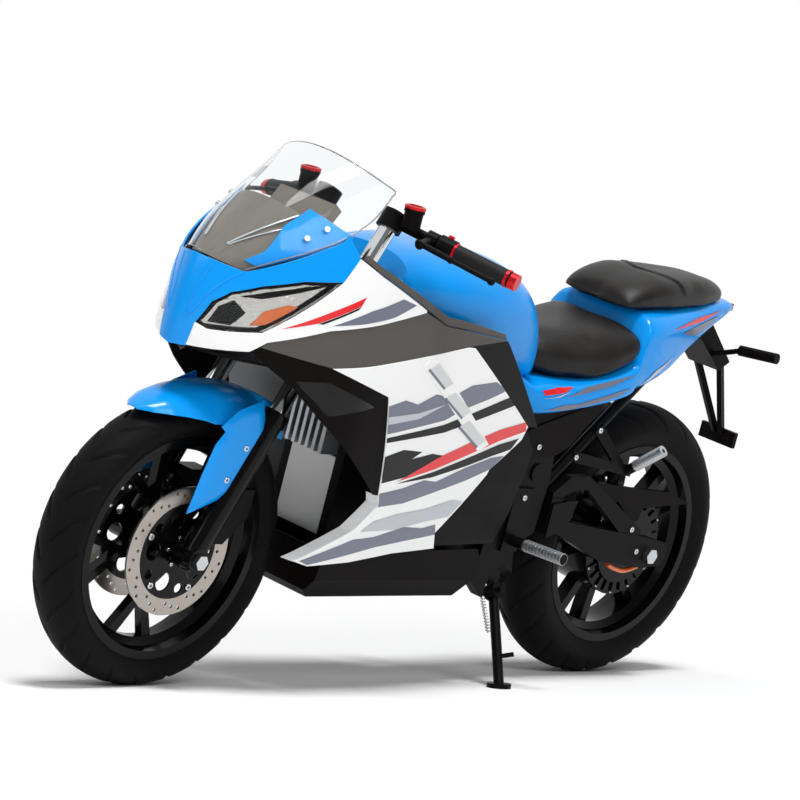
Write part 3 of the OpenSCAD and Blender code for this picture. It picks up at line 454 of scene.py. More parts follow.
@dataclass(frozen=True)
class FairingSurface:
    """The fairing's outer surface, as half width over station and height, in millimetres."""

    half: float = 242.0
    wide_z: float = 690.0
    top_in: float = 42.0
    top_span: float = 260.0
    low_in: float = 64.0
    low_span: float = 390.0
    nose: float = 1480.0
    nose_len: float = 330.0
    nose_low: float = 690.0
    nose_tip: float = 730.0
    nose_bend: float = 0.00075
    power: float = 1.6
    waist_x: float = 1100.0
    waist_len: float = 500.0
    waist_in: float = 0.17
    waist_power: float = 1.5
    unit: float = 380.0

    def nose_x(self, z: float, inset: float) -> float:
        """Returns the front of the surface on the centre line at height z."""
        return self.nose - inset - self.nose_bend * (max(z, self.nose_low) - self.nose_tip) ** 2

    def half_at(self, x: float, z: float, inset: float) -> float:
        """Works out the half width.

        Args:
            x: station.
            z: height.
            inset: depth under the outer surface.

        Returns:
            The half width there.
        """
        over = self.top_in * ((z - self.wide_z) / self.top_span) ** 2
        under = self.low_in * ((self.wide_z - z) / self.low_span) ** 2
        wide = self.half - inset - (over if z > self.wide_z else under)
        s = min(1.0, max(0.0, (self.nose_x(z, inset) - x) / self.nose_len))
        t = max(0.0, self.waist_x - x) / self.waist_len
        round_nose = (1 - (1 - s) ** self.power) ** (1 / self.power)
        return wide * round_nose * (1 - self.waist_in * t ** self.waist_power)

    def chart(self, x: float, z: float) -> Point2:
        """Finds a point's place on the flat chart used to mesh panels.

        Args:
            x: station.
            z: height.

        Returns:
            The way back along the chart and the height.
        """
        s = max(0.0, (self.nose_x(z, 0.0) - x) / self.nose_len)
        q = s ** (1 / self.power) if s < 1 else 1 + (s - 1) / self.power
        return (q * self.unit, z)

    def point(self, u: float, z: float, inset: float) -> Vector:
        """Finds the surface point for a chart place.

        Args:
            u: way back along the chart.
            z: height.
            inset: depth under the outer surface.

        Returns:
            The left side's point in metres.
        """
        q = max(0.0, u) / self.unit
        s = q ** self.power if q < 1 else 1 + (q - 1) * self.power
        x = self.nose_x(z, inset) - self.nose_len * s
        return Vector((x, self.half_at(x, z, inset), z)) * MM


SURFACE = FairingSurface()


def walk(outline: Outline, step: float, closed: bool = True) -> list[Point2]:
    """Splits an outline into short steps.

    Args:
        outline: corner points.
        step: longest step.
        closed: whether the last point joins the first.

    Returns:
        Points along the outline.
    """
    out: list[Point2] = []
    ends = [*outline[1:], outline[0]] if closed else outline[1:]
    for a, b in zip(outline, ends):
        count = max(1, math.ceil(math.dist(a, b) / step))
        out += [(a[0] + (b[0] - a[0]) * j / count, a[1] + (b[1] - a[1]) * j / count) for j in range(count)]
    return out if closed else [*out, outline[-1]]


def middle_of(outline: Outline) -> Point2:
    """Returns the mean of an outline's corners."""
    return (sum(p[0] for p in outline) / len(outline), sum(p[1] for p in outline) / len(outline))


def shrink(outline: Outline, wide: float, tall: float) -> Outline:
    """Draws an outline in towards its middle.

    Args:
        outline: corner points.
        wide: share kept along the machine.
        tall: share kept upwards.

    Returns:
        The smaller outline.
    """
    mid_x, mid_z = middle_of(outline)
    return [(mid_x + wide * (x - mid_x), mid_z + tall * (z - mid_z)) for x, z in outline]


def fill(loops: Sequence[Outline], step: float, room: float = 0.55) -> tuple[list[Point2], Faces]:
    """Meshes a flat outline, with holes after the first loop, by constrained triangulation.

    Args:
        loops: closed loops, outer one first.
        step: inner point spacing.
        room: least distance of an inner point from the loops, in steps.

    Returns:
        Flat points and faces.
    """
    points: list[Vector] = []
    edges: list[tuple[int, int]] = []
    for loop in loops:
        start = len(points)
        points += [Vector(p) for p in loop]
        edges += [(start + k, start + (k + 1) % len(loop)) for k in range(len(loop))]
    us = [p[0] for p in loops[0]]
    zs = [p[1] for p in loops[0]]
    rows = int((max(zs) - min(zs)) / step) + 1
    cols = int((max(us) - min(us)) / step) + 1
    inner = [Vector((min(us) + step * (c + 0.5 * (r % 2)), min(zs) + step * r))
             for r in range(rows) for c in range(cols)]
    clear = [p for p in inner if min((p - q).length for q in points) > room * step]
    keep = 2 if len(loops) > 1 else 1
    verts, _, faces, _, _, _ = delaunay_2d_cdt(points + clear, edges, [], keep, 1e-5)
    return [(v[0], v[1]) for v in verts], [list(f) for f in faces]


@dataclass
class FairingPanel:
    """One moulded panel on the fairing surface, left and right."""

    name: str
    outline: Outline
    finish: Paint
    slot: str
    inset: float = 0.0
    wall: float = 4.0
    nodes: tuple[str, ...] = ()
    holes: tuple[Outline, ...] = ()
    joined: bool = False
    step: float = 9.0
    round_mm: float = 1.2

    def build(self) -> list[Piece]:
        """Builds the panel on both sides.

        Returns:
            The objects made.
        """
        loops = [[SURFACE.chart(*p) for p in walk(loop, self.step)] for loop in (self.outline, *self.holes)]
        flat, faces = fill(loops, self.step)
        left = [SURFACE.point(u, z, self.inset) for u, z in flat]
        right = [mirrored(p, -1.0) for p in left]
        turned = [list(reversed(f)) for f in faces]
        if self.joined:
            both = faces + [[k + len(left) for k in f] for f in turned]
            made = [Shop.mesh(self.name, left + right, both, self.finish, "chassis", self.slot)]
        else:
            made = [Shop.mesh(self.name + "_left", left, faces, self.finish, "chassis", self.slot),
                    Shop.mesh(self.name + "_right", right, turned, self.finish, "chassis", self.slot)]
        for piece in made:
            Shop.thicken(piece, self.wall)
            if self.round_mm > 0:
                Shop.bevel(piece, self.round_mm)
            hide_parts(*self.nodes)
        return made


@dataclass
class LoftBody:
    """A body drawn through rounded sections along the machine."""

    name: str
    # Columns: station, half width, low edge, high edge and squareness.
    rows: Rows
    finish: Paint
    slot: str
    nodes: tuple[str, ...] = ()
    around: int = 48
    step: float = 12.0
    cushion: bool = False
    room: tuple[list[Vector], Faces] | None = None
    edge_mm: float = 2.5
    # A cushion's widest height as a share, and its squareness above and below.
    cushion_mid: float = 0.34
    cushion_bends: Point2 = (2.3, 7.0)

    def slope(self, rows: Rows, k: int, column: int) -> float:
        """Works out a column's slope at a row, flat where it turns, so that the curve never overshoots.

        Args:
            rows: the rows in order of station.
            k: row number.
            column: column number.

        Returns:
            The slope.
        """
        steps = [(b[column] - a[column]) / (b[0] - a[0]) for a, b in zip(rows, rows[1:])]
        near = steps[max(0, k - 1):k + 1]
        if len(near) == 1 or k == 0:
            return near[0]
        before, after = near
        return 0.0 if before * after <= 0 else 2 * before * after / (before + after)

    def section(self, x: float) -> list[float]:
        """Reads the rows at a station, by a smooth curve.

        Args:
            x: station.

        Returns:
            Half width, low edge, high edge and squareness.
        """
        rows = sorted(self.rows)
        xs = [r[0] for r in rows]
        k = min(max(0, int(np.searchsorted(xs, x)) - 1), len(xs) - 2)
        gap = xs[k + 1] - xs[k]
        t = (x - xs[k]) / gap
        h = t * t * (3 - 2 * t)
        out = []
        for c in range(1, len(rows[0])):
            a, b = rows[k][c], rows[k + 1][c]
            ease = (1 - t) * self.slope(rows, k, c) - t * self.slope(rows, k + 1, c)
            out.append(a + (b - a) * h + gap * t * (1 - t) * ease)
        return out

    def ring(self, x: float) -> list[Vector]:
        """Draws one section.

        Args:
            x: station.

        Returns:
            Its points in metres.
        """
        half, low, high, square = self.section(x)
        mid = low + (self.cushion_mid if self.cushion else 0.5) * (high - low)
        upper, lower = self.cushion_bends if self.cushion else (square, square)
        pts = []
        for k in range(self.around):
            a = 2 * math.pi * k / self.around
            c, s = math.cos(a), math.sin(a)
            y = half * math.copysign(abs(c) ** (2 / square), c)
            bend = upper if s > 0 else lower
            z = mid + (high - mid if s > 0 else mid - low) * math.copysign(abs(s) ** (2 / bend), s)
            pts.append(Vector((x, y, z)) * MM)
        return pts

    def shell(self, grow: float = 0.0) -> tuple[list[Vector], Faces]:
        """Draws the whole body.

        Args:
            grow: outward growth of every section in millimetres.

        Returns:
            Points in metres and faces.
        """
        xs = sorted(r[0] for r in self.rows)
        stations = [xs[0]]
        for a, b in zip(xs, xs[1:]):
            count = max(1, math.ceil((b - a) / self.step))
            stations += [a + (b - a) * j / count for j in range(1, count + 1)]
        verts: list[Vector] = []
        for x in stations:
            ring = self.ring(x)
            mid = sum(ring, Vector()) / len(ring)
            verts += [p + (p - mid).normalized() * grow * MM for p in ring]
        return verts, tube_faces(len(stations), self.around)

    def build(self) -> Piece:
        """Builds the smooth body over its CAD node.

        Returns:
            The object made.
        """
        verts, faces = self.shell()
        made = Shop.mesh(self.name, verts, faces, self.finish, "chassis", self.slot, angle=45.0)
        if self.room is not None:
            Shop.carve(made, *self.room)
        Shop.bevel(made, self.edge_mm)
        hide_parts(*self.nodes)
        return made


@dataclass
class Sticker:
    """Film shapes laid over a painted surface seen from the side."""

    name: str
    shapes: Sequence[Outline]
    finish: Paint
    slot: str
    over: list[Piece]
    raise_mm: float = 0.5
    step: float = 8.0
    pull_mm: float = 1.5
    tries: int = 20
    far: float = 0.5

    def land(self, trees: list[BVHTree], start: Point2, middle: Point2, side: float) -> Vector | None:
        """Throws one point sideways on to the surface, and pulls it in to the middle where it misses.

        Args:
            trees: the surfaces.
            start: the point, as station and height.
            middle: the shape's middle.
            side: 1 for the left and -1 for the right.

        Returns:
            The raised point in metres, or nothing.
        """
        for pull in range(self.tries):
            share = pull * self.pull_mm / max(1.0, math.dist(start, middle))
            x, z = (a + (b - a) * min(1.0, share) for a, b in zip(start, middle))
            best = None
            for tree in trees:
                at, normal, _, _ = tree.ray_cast(Vector((x * MM, side * self.far, z * MM)),
                                                 Vector((0, -side, 0)))
                if at is not None and at.y * side > 0 and (best is None or at.y * side > best[0].y * side):
                    best = (at, normal)
            if best is not None:
                out = best[1] if best[1].y * side > 0 else -best[1]
                return best[0] + out * self.raise_mm * MM
        return None

    def build(self) -> Piece:
        """Lays the shapes on the surface, left and right.

        Returns:
            The object made.
        """
        verts: list[Vector] = []
        faces: Faces = []
        trees = [tree_of(piece) for piece in self.over]
        for _, side in SIDES:
            for shape in self.shapes:
                middle = middle_of(shape)
                flat, tris = fill([walk(shape, self.step)], self.step)
                index: dict[int, int] = {}
                for k, p in enumerate(flat):
                    at = self.land(trees, p, middle, side)
                    if at is not None:
                        index[k] = len(verts)
                        verts.append(at)
                faces += [[index[k] for k in f] for f in tris if all(k in index for k in f)]
        return Shop.mesh(self.name, verts, faces, self.finish, "chassis", self.slot)


@dataclass
class Tyre:
    """A road tyre with moulded tread grooves."""

    name: str
    node: str
    body: str
    centre: Point2
    radius: float
    width: float
    rim_half: float
    repeats: int = 22
    bead_r: float = 218.0
    bead_rise: float = 8.0
    bead_in: float = 4.0
    belly: float = 0.47
    tread_end: float = 0.72
    wall: float = 6.0
    depth: float = 4.0
    turns: int = 20
    rows: int = 64
    # Columns: inner end and outer end across the tyre, shift round it, slant and half width, all as shares.
    grooves: Rows = ((0.05, 0.58, 0.0, 1.15, 0.085), (0.28, 0.66, 0.48, 0.75, 0.06))
    groove_bow: float = 0.35
    groove_tip: float = 0.35
    groove_taper: float = 6.0
    groove_flank: float = 0.35

    def profile(self, v: float) -> Point2:
        """Draws the tyre's section, a round tread and straighter walls down to the bead.

        Args:
            v: way across the tyre, -1 to 1.

        Returns:
            Radius and place to the side.
        """
        wide = self.bead_r + self.belly * (self.radius - self.bead_r)
        a = abs(v)
        if a < self.tread_end:
            t = a / self.tread_end * math.pi / 2
            r = wide + (self.radius - wide) * math.cos(t)
            y = self.width / 2 * math.sin(t)
        else:
            t = (a - self.tread_end) / (1 - self.tread_end)
            r = wide + (self.bead_r + self.bead_rise - wide) * t
            inner = self.rim_half - self.bead_in
            y = inner + (self.width / 2 - inner) * math.cos(t * math.pi / 2)
        return r, math.copysign(y, v)

    def groove(self, turn: float, v: float) -> float:
        """Draws the tread pattern.

        Args:
            turn: way round the wheel in pattern repeats.
            v: way across the tyre.

        Returns:
            Groove depth, 0 to 1.
        """
        a = abs(v)
        side = 0.5 if v < 0 else 0.0
        best = 0.0
        for low, high, shift, slant, half in self.grooves:
            if not low < a < high:
                continue
            way = (a - low) / (high - low)
            middle = shift + side + slant * way - self.groove_bow * way * way
            off = abs((turn - middle + 0.5) % 1.0 - 0.5)
            ends = (self.groove_taper * w + self.groove_tip for w in (way, 1 - way))
            taper = half * min(1.0, *ends)
            best = max(best, min(1.0, max(0.0, (taper - off) / (self.groove_flank * half))))
        return best

    def build(self) -> Piece:
        """Builds the tyre over its CAD node.

        Returns:
            The object made.
        """
        count = self.repeats * self.turns
        verts: list[Vector] = []
        for k in range(count):
            angle = 2 * math.pi * k / count
            for j in range(self.rows + 1):
                v = -1 + 2 * j / self.rows
                r, y = self.profile(v)
                r -= self.depth * self.groove(k / self.turns, v)
                x = self.centre[0] + r * math.cos(angle)
                verts.append(Vector((x, y, self.centre[1] + r * math.sin(angle))) * MM)
        n = self.rows + 1
        faces = [[k * n + j, k * n + j + 1, (k + 1) % count * n + j + 1, (k + 1) % count * n + j]
                 for k in range(count) for j in range(self.rows)]
        made = Shop.mesh(self.name, verts, faces, Paint.RUBBER, self.body, "tyre", angle=40.0)
        Shop.thicken(made, self.wall)
        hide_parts(self.node)
        return made


@dataclass
class Fixings:
    """Many small round heads with a hex socket, as one mesh."""

    name: str
    places: list[tuple[Vector, Vector]]
    radius: float
    height: float
    finish: Paint
    body: str
    slot: str
    socket: float = 0.5
    around: int = 18
    # How far the socket's flats lie inside its corners.
    flats: float = 0.09

    def build(self) -> Piece:
        """Builds the heads.

        Returns:
            The object made.
        """
        verts: list[Vector] = []
        faces: Faces = []
        # Columns: share of the radius and share of the height.
        rings = ((1.0, -0.3), (1.0, 0.75), (0.86, 1.0), (self.socket, 1.0), (self.socket, 0.35))
        n = self.around
        for at, way in self.places:
            turn = way.normalized().to_track_quat("Z", "Y").to_matrix()
            start = len(verts)
            for share, up in rings:
                for k in range(n):
                    a = 2 * math.pi * k / n
                    hexed = share if share > self.socket else share * (1 - self.flats * (k % 3 != 0))
                    out = hexed * self.radius
                    p = Vector((math.cos(a) * out, math.sin(a) * out, up * self.height))
                    verts.append((at + turn @ p) * MM)
            faces += grid_faces(len(rings), n, True, start)
            faces.append([start + (len(rings) - 1) * n + k for k in range(n)])
        return Shop.mesh(self.name, verts, faces, self.finish, self.body, self.slot, angle=30.0)


@dataclass
class Tube:
    """A round rod or bead along a smooth path."""

    name: str
    path: list[Vector]
    radius: float
    finish: Paint
    body: str
    slot: str
    around: int = 12
    fine: int = 8
    first_side: Point3 = (0.31, 0.87, 0.38)

    def curve(self) -> list[Vector]:
        """Smooths the path.

        Returns:
            Points along the curve through the path's points.
        """
        p = self.path
        last = len(p) - 1
        out = []
        for k in range(last):
            ends = p[max(0, k - 1)], p[k], p[k + 1], p[min(last, k + 2)]
            out += [spline(*ends, j / self.fine) for j in range(self.fine)]
        return out + [p[-1]]

    def build(self) -> Piece:
        """Builds the tube.

        Returns:
            The object made.
        """
        line = self.curve()
        verts: list[Vector] = []
        side = Vector(self.first_side)
        for k, at in enumerate(line):
            way = (line[min(k + 1, len(line) - 1)] - line[max(k - 1, 0)]).normalized()
            side = (side - way * side.dot(way)).normalized()
            other = way.cross(side)
            for j in range(self.around):
                a = 2 * math.pi * j / self.around
                verts.append((at + (side * math.cos(a) + other * math.sin(a)) * self.radius) * MM)
        faces = tube_faces(len(line), self.around)
        return Shop.mesh(self.name, verts, faces, self.finish, self.body, self.slot, angle=50.0)


@dataclass
class Sheet:
    """A moulded sheet over a grid of points in millimetres."""

    name: str
    grid: list[list[Vector]]
    wall: float
    finish: Paint
    body: str
    slot: str
    nodes: tuple[str, ...] = ()
    round_mm: float = 0.8

    def build(self) -> Piece:
        """Builds the sheet, with its wall inwards.

        Returns:
            The object made.
        """
        verts = [p * MM for row in self.grid for p in row]
        faces = grid_faces(len(self.grid), len(self.grid[0]), False)
        made = Shop.mesh(self.name, verts, faces, self.finish, self.body, self.slot)
        Shop.thicken(made, self.wall)
        Shop.bevel(made, self.round_mm)
        if self.nodes:
            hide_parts(*self.nodes)
        return made


@dataclass
class FrontFender:
    """The front fender: a pointed crown over the tyre and a blade down each fork leg."""

    # Columns: angle about the axle, half width, crown above the tyre and drop at the edge.
    rows: Rows = (
        (60, 14, 24, 4), (64, 40, 24.5, 14), (70, 62, 26, 26), (78, 76, 28, 40), (88, 86, 33, 58),
        (98, 94, 40, 64), (108, 100, 50, 62), (118, 102, 60, 62), (124, 100, 66, 62))
    # From the axle, as station and height.
    blade: Outline = (
        (-91, 324), (-118, 254), (-86, 164), (-90, 144), (43, 90), (27, 170), (10, 231), (-8, 257),
        (6, 267), (-30, 300))
    blade_y: float = 99.0
    blade_crown: float = 7.0
    blade_edge: float = 16.0
    wall: float = 3.0
    step: float = 9.0
    fine: int = 5
    half_count: int = 16
    bolts: Outline = ((1309.0, 520.0), (1341.0, 455.0))

    def point(self, u: float, v: float) -> Vector:
        """Finds a point on the crown.

        Args:
            u: way back along the rows.
            v: way across, -1 to 1.

        Returns:
            The point in millimetres.
        """
        k = min(int(u), len(self.rows) - 2)
        t = u - k
        angle, half, crown, drop = [a + (b - a) * t for a, b in zip(self.rows[k], self.rows[k + 1])]
        r = FRONT_RADIUS + crown - drop * abs(v) ** 3
        turn = math.radians(angle)
        return Vector((FRONT_AXLE[0] + r * math.cos(turn), half * v, FRONT_AXLE[1] + r * math.sin(turn)))

    @staticmethod
    def edge_gap(p: Point2, outline: Outline) -> float:
        """Measures how far a flat point lies from an outline.

        Args:
            p: the point.
            outline: corner points.

        Returns:
            The distance.
        """
        best = math.inf
        for k, a in enumerate(outline):
            b = outline[(k + 1) % len(outline)]
            way = (b[0] - a[0], b[1] - a[1])
            t = ((p[0] - a[0]) * way[0] + (p[1] - a[1]) * way[1]) / (way[0] ** 2 + way[1] ** 2)
            t = min(1.0, max(0.0, t))
            best = min(best, math.dist(p, (a[0] + way[0] * t, a[1] + way[1] * t)))
        return best

    def build(self) -> None:
        """Builds the crown, the blades and their bolts."""
        n = self.half_count
        ways = [1 - k / n for k in range(2 * n + 1)]
        count = self.fine * (len(self.rows) - 1) + 1
        grid = [[self.point(r / self.fine, v) for v in ways] for r in range(count)]
        Sheet("fender_crown", grid, self.wall, Paint.BLUE, "steering", "blue_paint",
              ("front_fender",)).build()
        flat, tris = fill([walk(self.blade, self.step)], self.step)
        rise = [min(1.0, self.edge_gap(p, self.blade) / self.blade_edge) for p in flat]
        out = [self.blade_y + self.blade_crown * (1 - (1 - w) ** 2) for w in rise]
        for name, side in SIDES:
            verts = [Vector((FRONT_AXLE[0] + x, side * y, FRONT_AXLE[1] + z)) * MM
                     for (x, z), y in zip(flat, out)]
            made = Shop.mesh("fender_blade_" + name, verts, tris, Paint.BLUE, "steering", "blue_paint",
                             angle=60.0)
            Shop.thicken(made, self.wall, offset=0.0)
            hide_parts("front_fender")
            head_y = side * (self.blade_y + self.blade_crown)
            heads = [(Vector((x, head_y, z)), Vector((0.0, side, 0.0))) for x, z in self.bolts]
            Fixings("fender_bolts_" + name, heads, 6.5, 4.0, Paint.ZINC, "steering", "steel").build()


@dataclass
class Windscreen:
    """The clear screen, its painted flange and what shows through it."""

    # Columns: station, height, half width, sweep back at the edge and drop at the edge.
    rows: Rows = (
        (1458, 884, 82, 52, 16), (1424, 920, 112, 62, 24), (1384, 962, 140, 76, 36),
        (1334, 1008, 160, 92, 46), (1272, 1060, 168, 92, 50), (1200, 1109, 166, 62, 42))
    wall: float = 3.0
    fine: int = 8
    half_count: int = 20
    edge_r: float = 1.6
    # Shares of an inset that go inwards and down.
    inset_share: Point2 = (0.6, 0.7)
    flange_rows: int = 24
    flange_cols: int = 8
    flange_depth: float = 5.0
    flange_wall: float = 2.0
    # First row and rows climbed, then the inner edge's place across and how far it moves in.
    flange_span: Point2 = (0.5, 2.75)
    flange_in: Point2 = (0.78, 0.2)
    flange_turn: float = 1.2
    flange_out: float = 1.02
    bolt_rows: Point2 = (2.35, 2.95)
    bolt_across: float = 0.86
    bolt_lift: float = 1.0
    bolt_way: Point3 = (0.45, 0.75, 0.5)
    strip_depth: float = 8.5
    # Columns: name, radius, rows climbed, start and spread across the screen.
    strips: tuple[tuple[str, float, float, float, float], ...] = (
        ("dash_strip_", 2.2, 2.1, 0.3, 0.26), ("dash_line_", 1.6, 1.9, 0.34, 0.34))
    strip_start: float = 0.8
    strip_steps: int = 6

    def point(self, u: float, v: float, inset: float) -> Vector:
        """Finds a point of the screen.

        Args:
            u: way up the screen in rows.
            v: way across, -1 to 1.
            inset: depth under the outer face.

        Returns:
            The point in millimetres.
        """
        last = len(self.rows) - 1
        k = min(int(u), last - 1)
        near = [self.rows[min(max(j, 0), last)] for j in range(k - 1, k + 3)]
        cx, cz, wide, sweep, drop = [spline(*column, u - k) for column in zip(*near)]
        across, down = self.inset_share
        y = (wide - across * inset) * v
        return Vector((cx - sweep * v * v - inset, y, cz - drop * v * v - down * inset))

    def clear(self) -> None:
        """Builds the clear sheet and its polished edge."""
        last = len(self.rows) - 1
        n = self.half_count
        ways = [k / n - 1 for k in range(2 * n + 1)]
        grid = [[self.point(r / self.fine, v, 0.0) for v in ways] for r in range(last * self.fine + 1)]
        Sheet("screen_skin", grid, self.wall, Paint.SCREEN, "chassis", "clear_glass", ("windscreen",)).build()
        rim = [(last * k / n, -1.0) for k in range(n)]
        rim += [(last, 2 * k / n - 1) for k in range(n)]
        rim += [(last * (1 - k / n), 1.0) for k in range(n + 1)]
        path = [self.point(u, v, self.wall / 2) for u, v in rim]
        Tube("screen_edge", path, self.edge_r, Paint.EDGE, "chassis", "clear_glass", fine=2).build()

    def flange(self, name: str, side: float) -> None:
        """Builds one painted flange and its bolts.

        Args:
            name: the side's name.
            side: 1 for the left and -1 for the right.
        """
        n = self.flange_cols
        grid = []
        for r in range(self.flange_rows + 1):
            u = self.flange_span[0] + self.flange_span[1] * r / self.flange_rows
            past = min(1.0, max(0.0, (u - self.flange_turn) / self.flange_turn))
            low = self.flange_in[0] - self.flange_in[1] * past
            ways = [low + (self.flange_out - low) * k / n for k in range(n + 1)]
            grid.append([self.point(u, side * v, self.flange_depth) for v in ways])
        Sheet("screen_flange_" + name, grid, self.flange_wall, Paint.BLUE, "chassis", "blue_paint").build()
        way = mirrored(Vector(self.bolt_way), side)
        bolts = [(self.point(u, side * self.bolt_across, -self.bolt_lift), way) for u in self.bolt_rows]
        Fixings("mirror_bolts_" + name, bolts, 6.0, 4.0, Paint.ZINC, "chassis", "steel").build()

    def build(self) -> None:
        """Builds the sheet, then on each side the flange and the bright dash strips."""
        self.clear()
        n = self.strip_steps
        for name, side in SIDES:
            self.flange(name, side)
            for kind, radius, climb, start, spread in self.strips:
                path = [self.point(self.strip_start + climb * k / n, side * (start + spread * k / n),
                                   self.strip_depth) for k in range(n + 1)]
                Tube(kind + name, path, radius, Paint.CHROME, "chassis", "chrome").build()


@dataclass
class Graphics:
    """The plain angular film graphics and the louvres in the side fairings."""

    band: Outline = ((996, 752), (972, 757), (724, 578), (754, 562), (1010, 738))
    vents: tuple[Outline, ...] = (
        ((964, 748), (904, 708), (927, 698), (989, 736)), ((890, 690), (820, 650), (843, 637), (916, 678)),
        ((816, 630), (739, 586), (761, 574), (843, 618)))
    # Grey strips along each vent's low edge: painted shade in the louvre slots.
    vent_slot_shades: tuple[Outline, ...] = (
        ((989, 736), (927, 698), (930, 694), (994, 733)), ((916, 678), (843, 637), (846, 633), (920, 675)),
        ((843, 618), (761, 574), (764, 570), (847, 615)))
    side_grey: tuple[Outline, ...] = (
        ((1086, 656), (1040, 670), (1000, 662), (950, 684), (900, 678), (840, 704), (760, 712), (716, 694),
         (770, 676), (840, 656), (900, 630), (1067, 598)),
        ((1024, 470), (960, 482), (900, 500), (860, 496), (780, 526), (700, 548), (656, 552), (690, 522),
         (760, 498), (860, 470), (940, 448), (1013, 440)),
        ((1164, 316), (1100, 342), (1040, 366), (980, 372), (900, 394), (840, 390), (800, 398), (784, 374),
         (870, 362), (960, 348), (1060, 324), (1136, 307)))
    side_ink: tuple[Outline, ...] = (
        ((1064, 590), (900, 620), (800, 650), (700, 680), (668, 664), (780, 634), (890, 604), (1060, 580)),
        ((1052, 550), (1000, 566), (940, 562), (966, 546), (905, 558), (850, 552), (905, 520), (960, 508),
         (1034, 492)),
        ((985, 492), (880, 518), (780, 549), (690, 577), (624, 590), (640, 566), (700, 552), (780, 530),
         (880, 506)))
    side_red: tuple[Outline, ...] = (
        ((985, 497), (880, 550), (780, 586), (700, 610), (614, 626), (606, 606), (690, 586), (780, 557),
         (880, 524)),)
    side_pale: tuple[Outline, ...] = (
        ((1004, 408), (940, 424), (860, 434), (780, 454), (742, 450), (768, 416), (850, 404), (930, 388),
         (1030, 384)),
        ((1078, 634), (990, 644), (910, 664), (985, 632), (1073, 618)))
    upper_red: tuple[Outline, ...] = (((1352, 776), (1270, 824), (1196, 864), (1206, 846), (1290, 800)),)
    upper_ink: tuple[Outline, ...] = (((1290, 799), (1206, 845), (1212, 838), (1280, 800)),)
    upper_grey: tuple[Outline, ...] = (
        ((1262, 800), (1180, 840), (1100, 868), (1060, 858), (1120, 832), (1200, 812)),)
    tail_red: tuple[Outline, ...] = (
        ((120, 826), (0, 850), (-120, 864), (-20, 842)),
        ((500, 668), (450, 678), (420, 690), (470, 686), (508, 676)))
    tail_grey: tuple[Outline, ...] = (
        ((70, 818), (-20, 836), (-110, 852), (-60, 826), (0, 810)),
        ((490, 636), (440, 652), (400, 656), (330, 676), (240, 700), (280, 680), (350, 660), (420, 642)),
        ((440, 668), (380, 682), (310, 700), (230, 730), (300, 712), (390, 690)))
    tail_pale: tuple[Outline, ...] = (
        ((506, 660), (470, 668), (430, 682), (460, 668)), ((200, 700), (150, 728), (90, 764), (160, 736)))

    def louvres(self) -> None:
        """Builds the raised louvre band, the vents on it in greyed white as painted shade, and grey strips in
        their slots as painted shade.
        """
        FairingPanel("louvre_band", self.band, Paint.WHITE, "white_paint", inset=-1.6, wall=2.0, step=6.0,
                     round_mm=0.8).build()
        for k, (vent, slot) in enumerate(zip(self.vents, self.vent_slot_shades)):
            FairingPanel("side_vent_%d" % k, vent, Paint.SHADED_WHITE, "white_paint", inset=-2.3, wall=1.0,
                         step=6.0, round_mm=0.4, joined=True).build()
            # Grey strip along the vent's low edge: painted shade in the louvre slot.
            FairingPanel("side_vent_slot_%d" % k, slot, Paint.GREY, "white_paint", inset=-2.5, wall=1.0,
                         step=6.0, round_mm=0.0, joined=True).build()

    def build(self, sides: list[Piece], uppers: list[Piece], tail: Piece) -> None:
        """Builds the louvres and lays the films.

        Args:
            sides: the side fairing pieces.
            uppers: the upper panel pieces.
            tail: the tail skin.
        """
        self.louvres()
        # Columns: name, shapes, finish, slot, what it lies on and how far it stands off.
        films = (("side_grey_stripes", self.side_grey, Paint.GREY, "white_paint", sides, 0.5),
                 ("side_black_stripes", self.side_ink, Paint.INK, "white_paint", sides, 0.7),
                 ("side_red_stripes", self.side_red, Paint.RED, "white_paint", sides, 0.9),
                 ("side_pale_stripes", self.side_pale, Paint.PALE, "white_paint", sides, 0.9),
                 ("upper_red_blade", self.upper_red, Paint.RED, "white_paint", uppers, 0.5),
                 ("upper_black_edge", self.upper_ink, Paint.INK, "white_paint", uppers, 0.5),
                 ("upper_grey_blade", self.upper_grey, Paint.GREY, "white_paint", uppers, 0.5),
                 ("tail_red_stripe", self.tail_red, Paint.RED, "blue_paint", [tail], 1.6),
                 ("tail_grey_shapes", self.tail_grey, Paint.GREY, "blue_paint", [tail], 1.4),
                 ("tail_pale_shapes", self.tail_pale, Paint.PALE, "blue_paint", [tail], 1.8))
        for film in films:
            Sticker(*film).build()


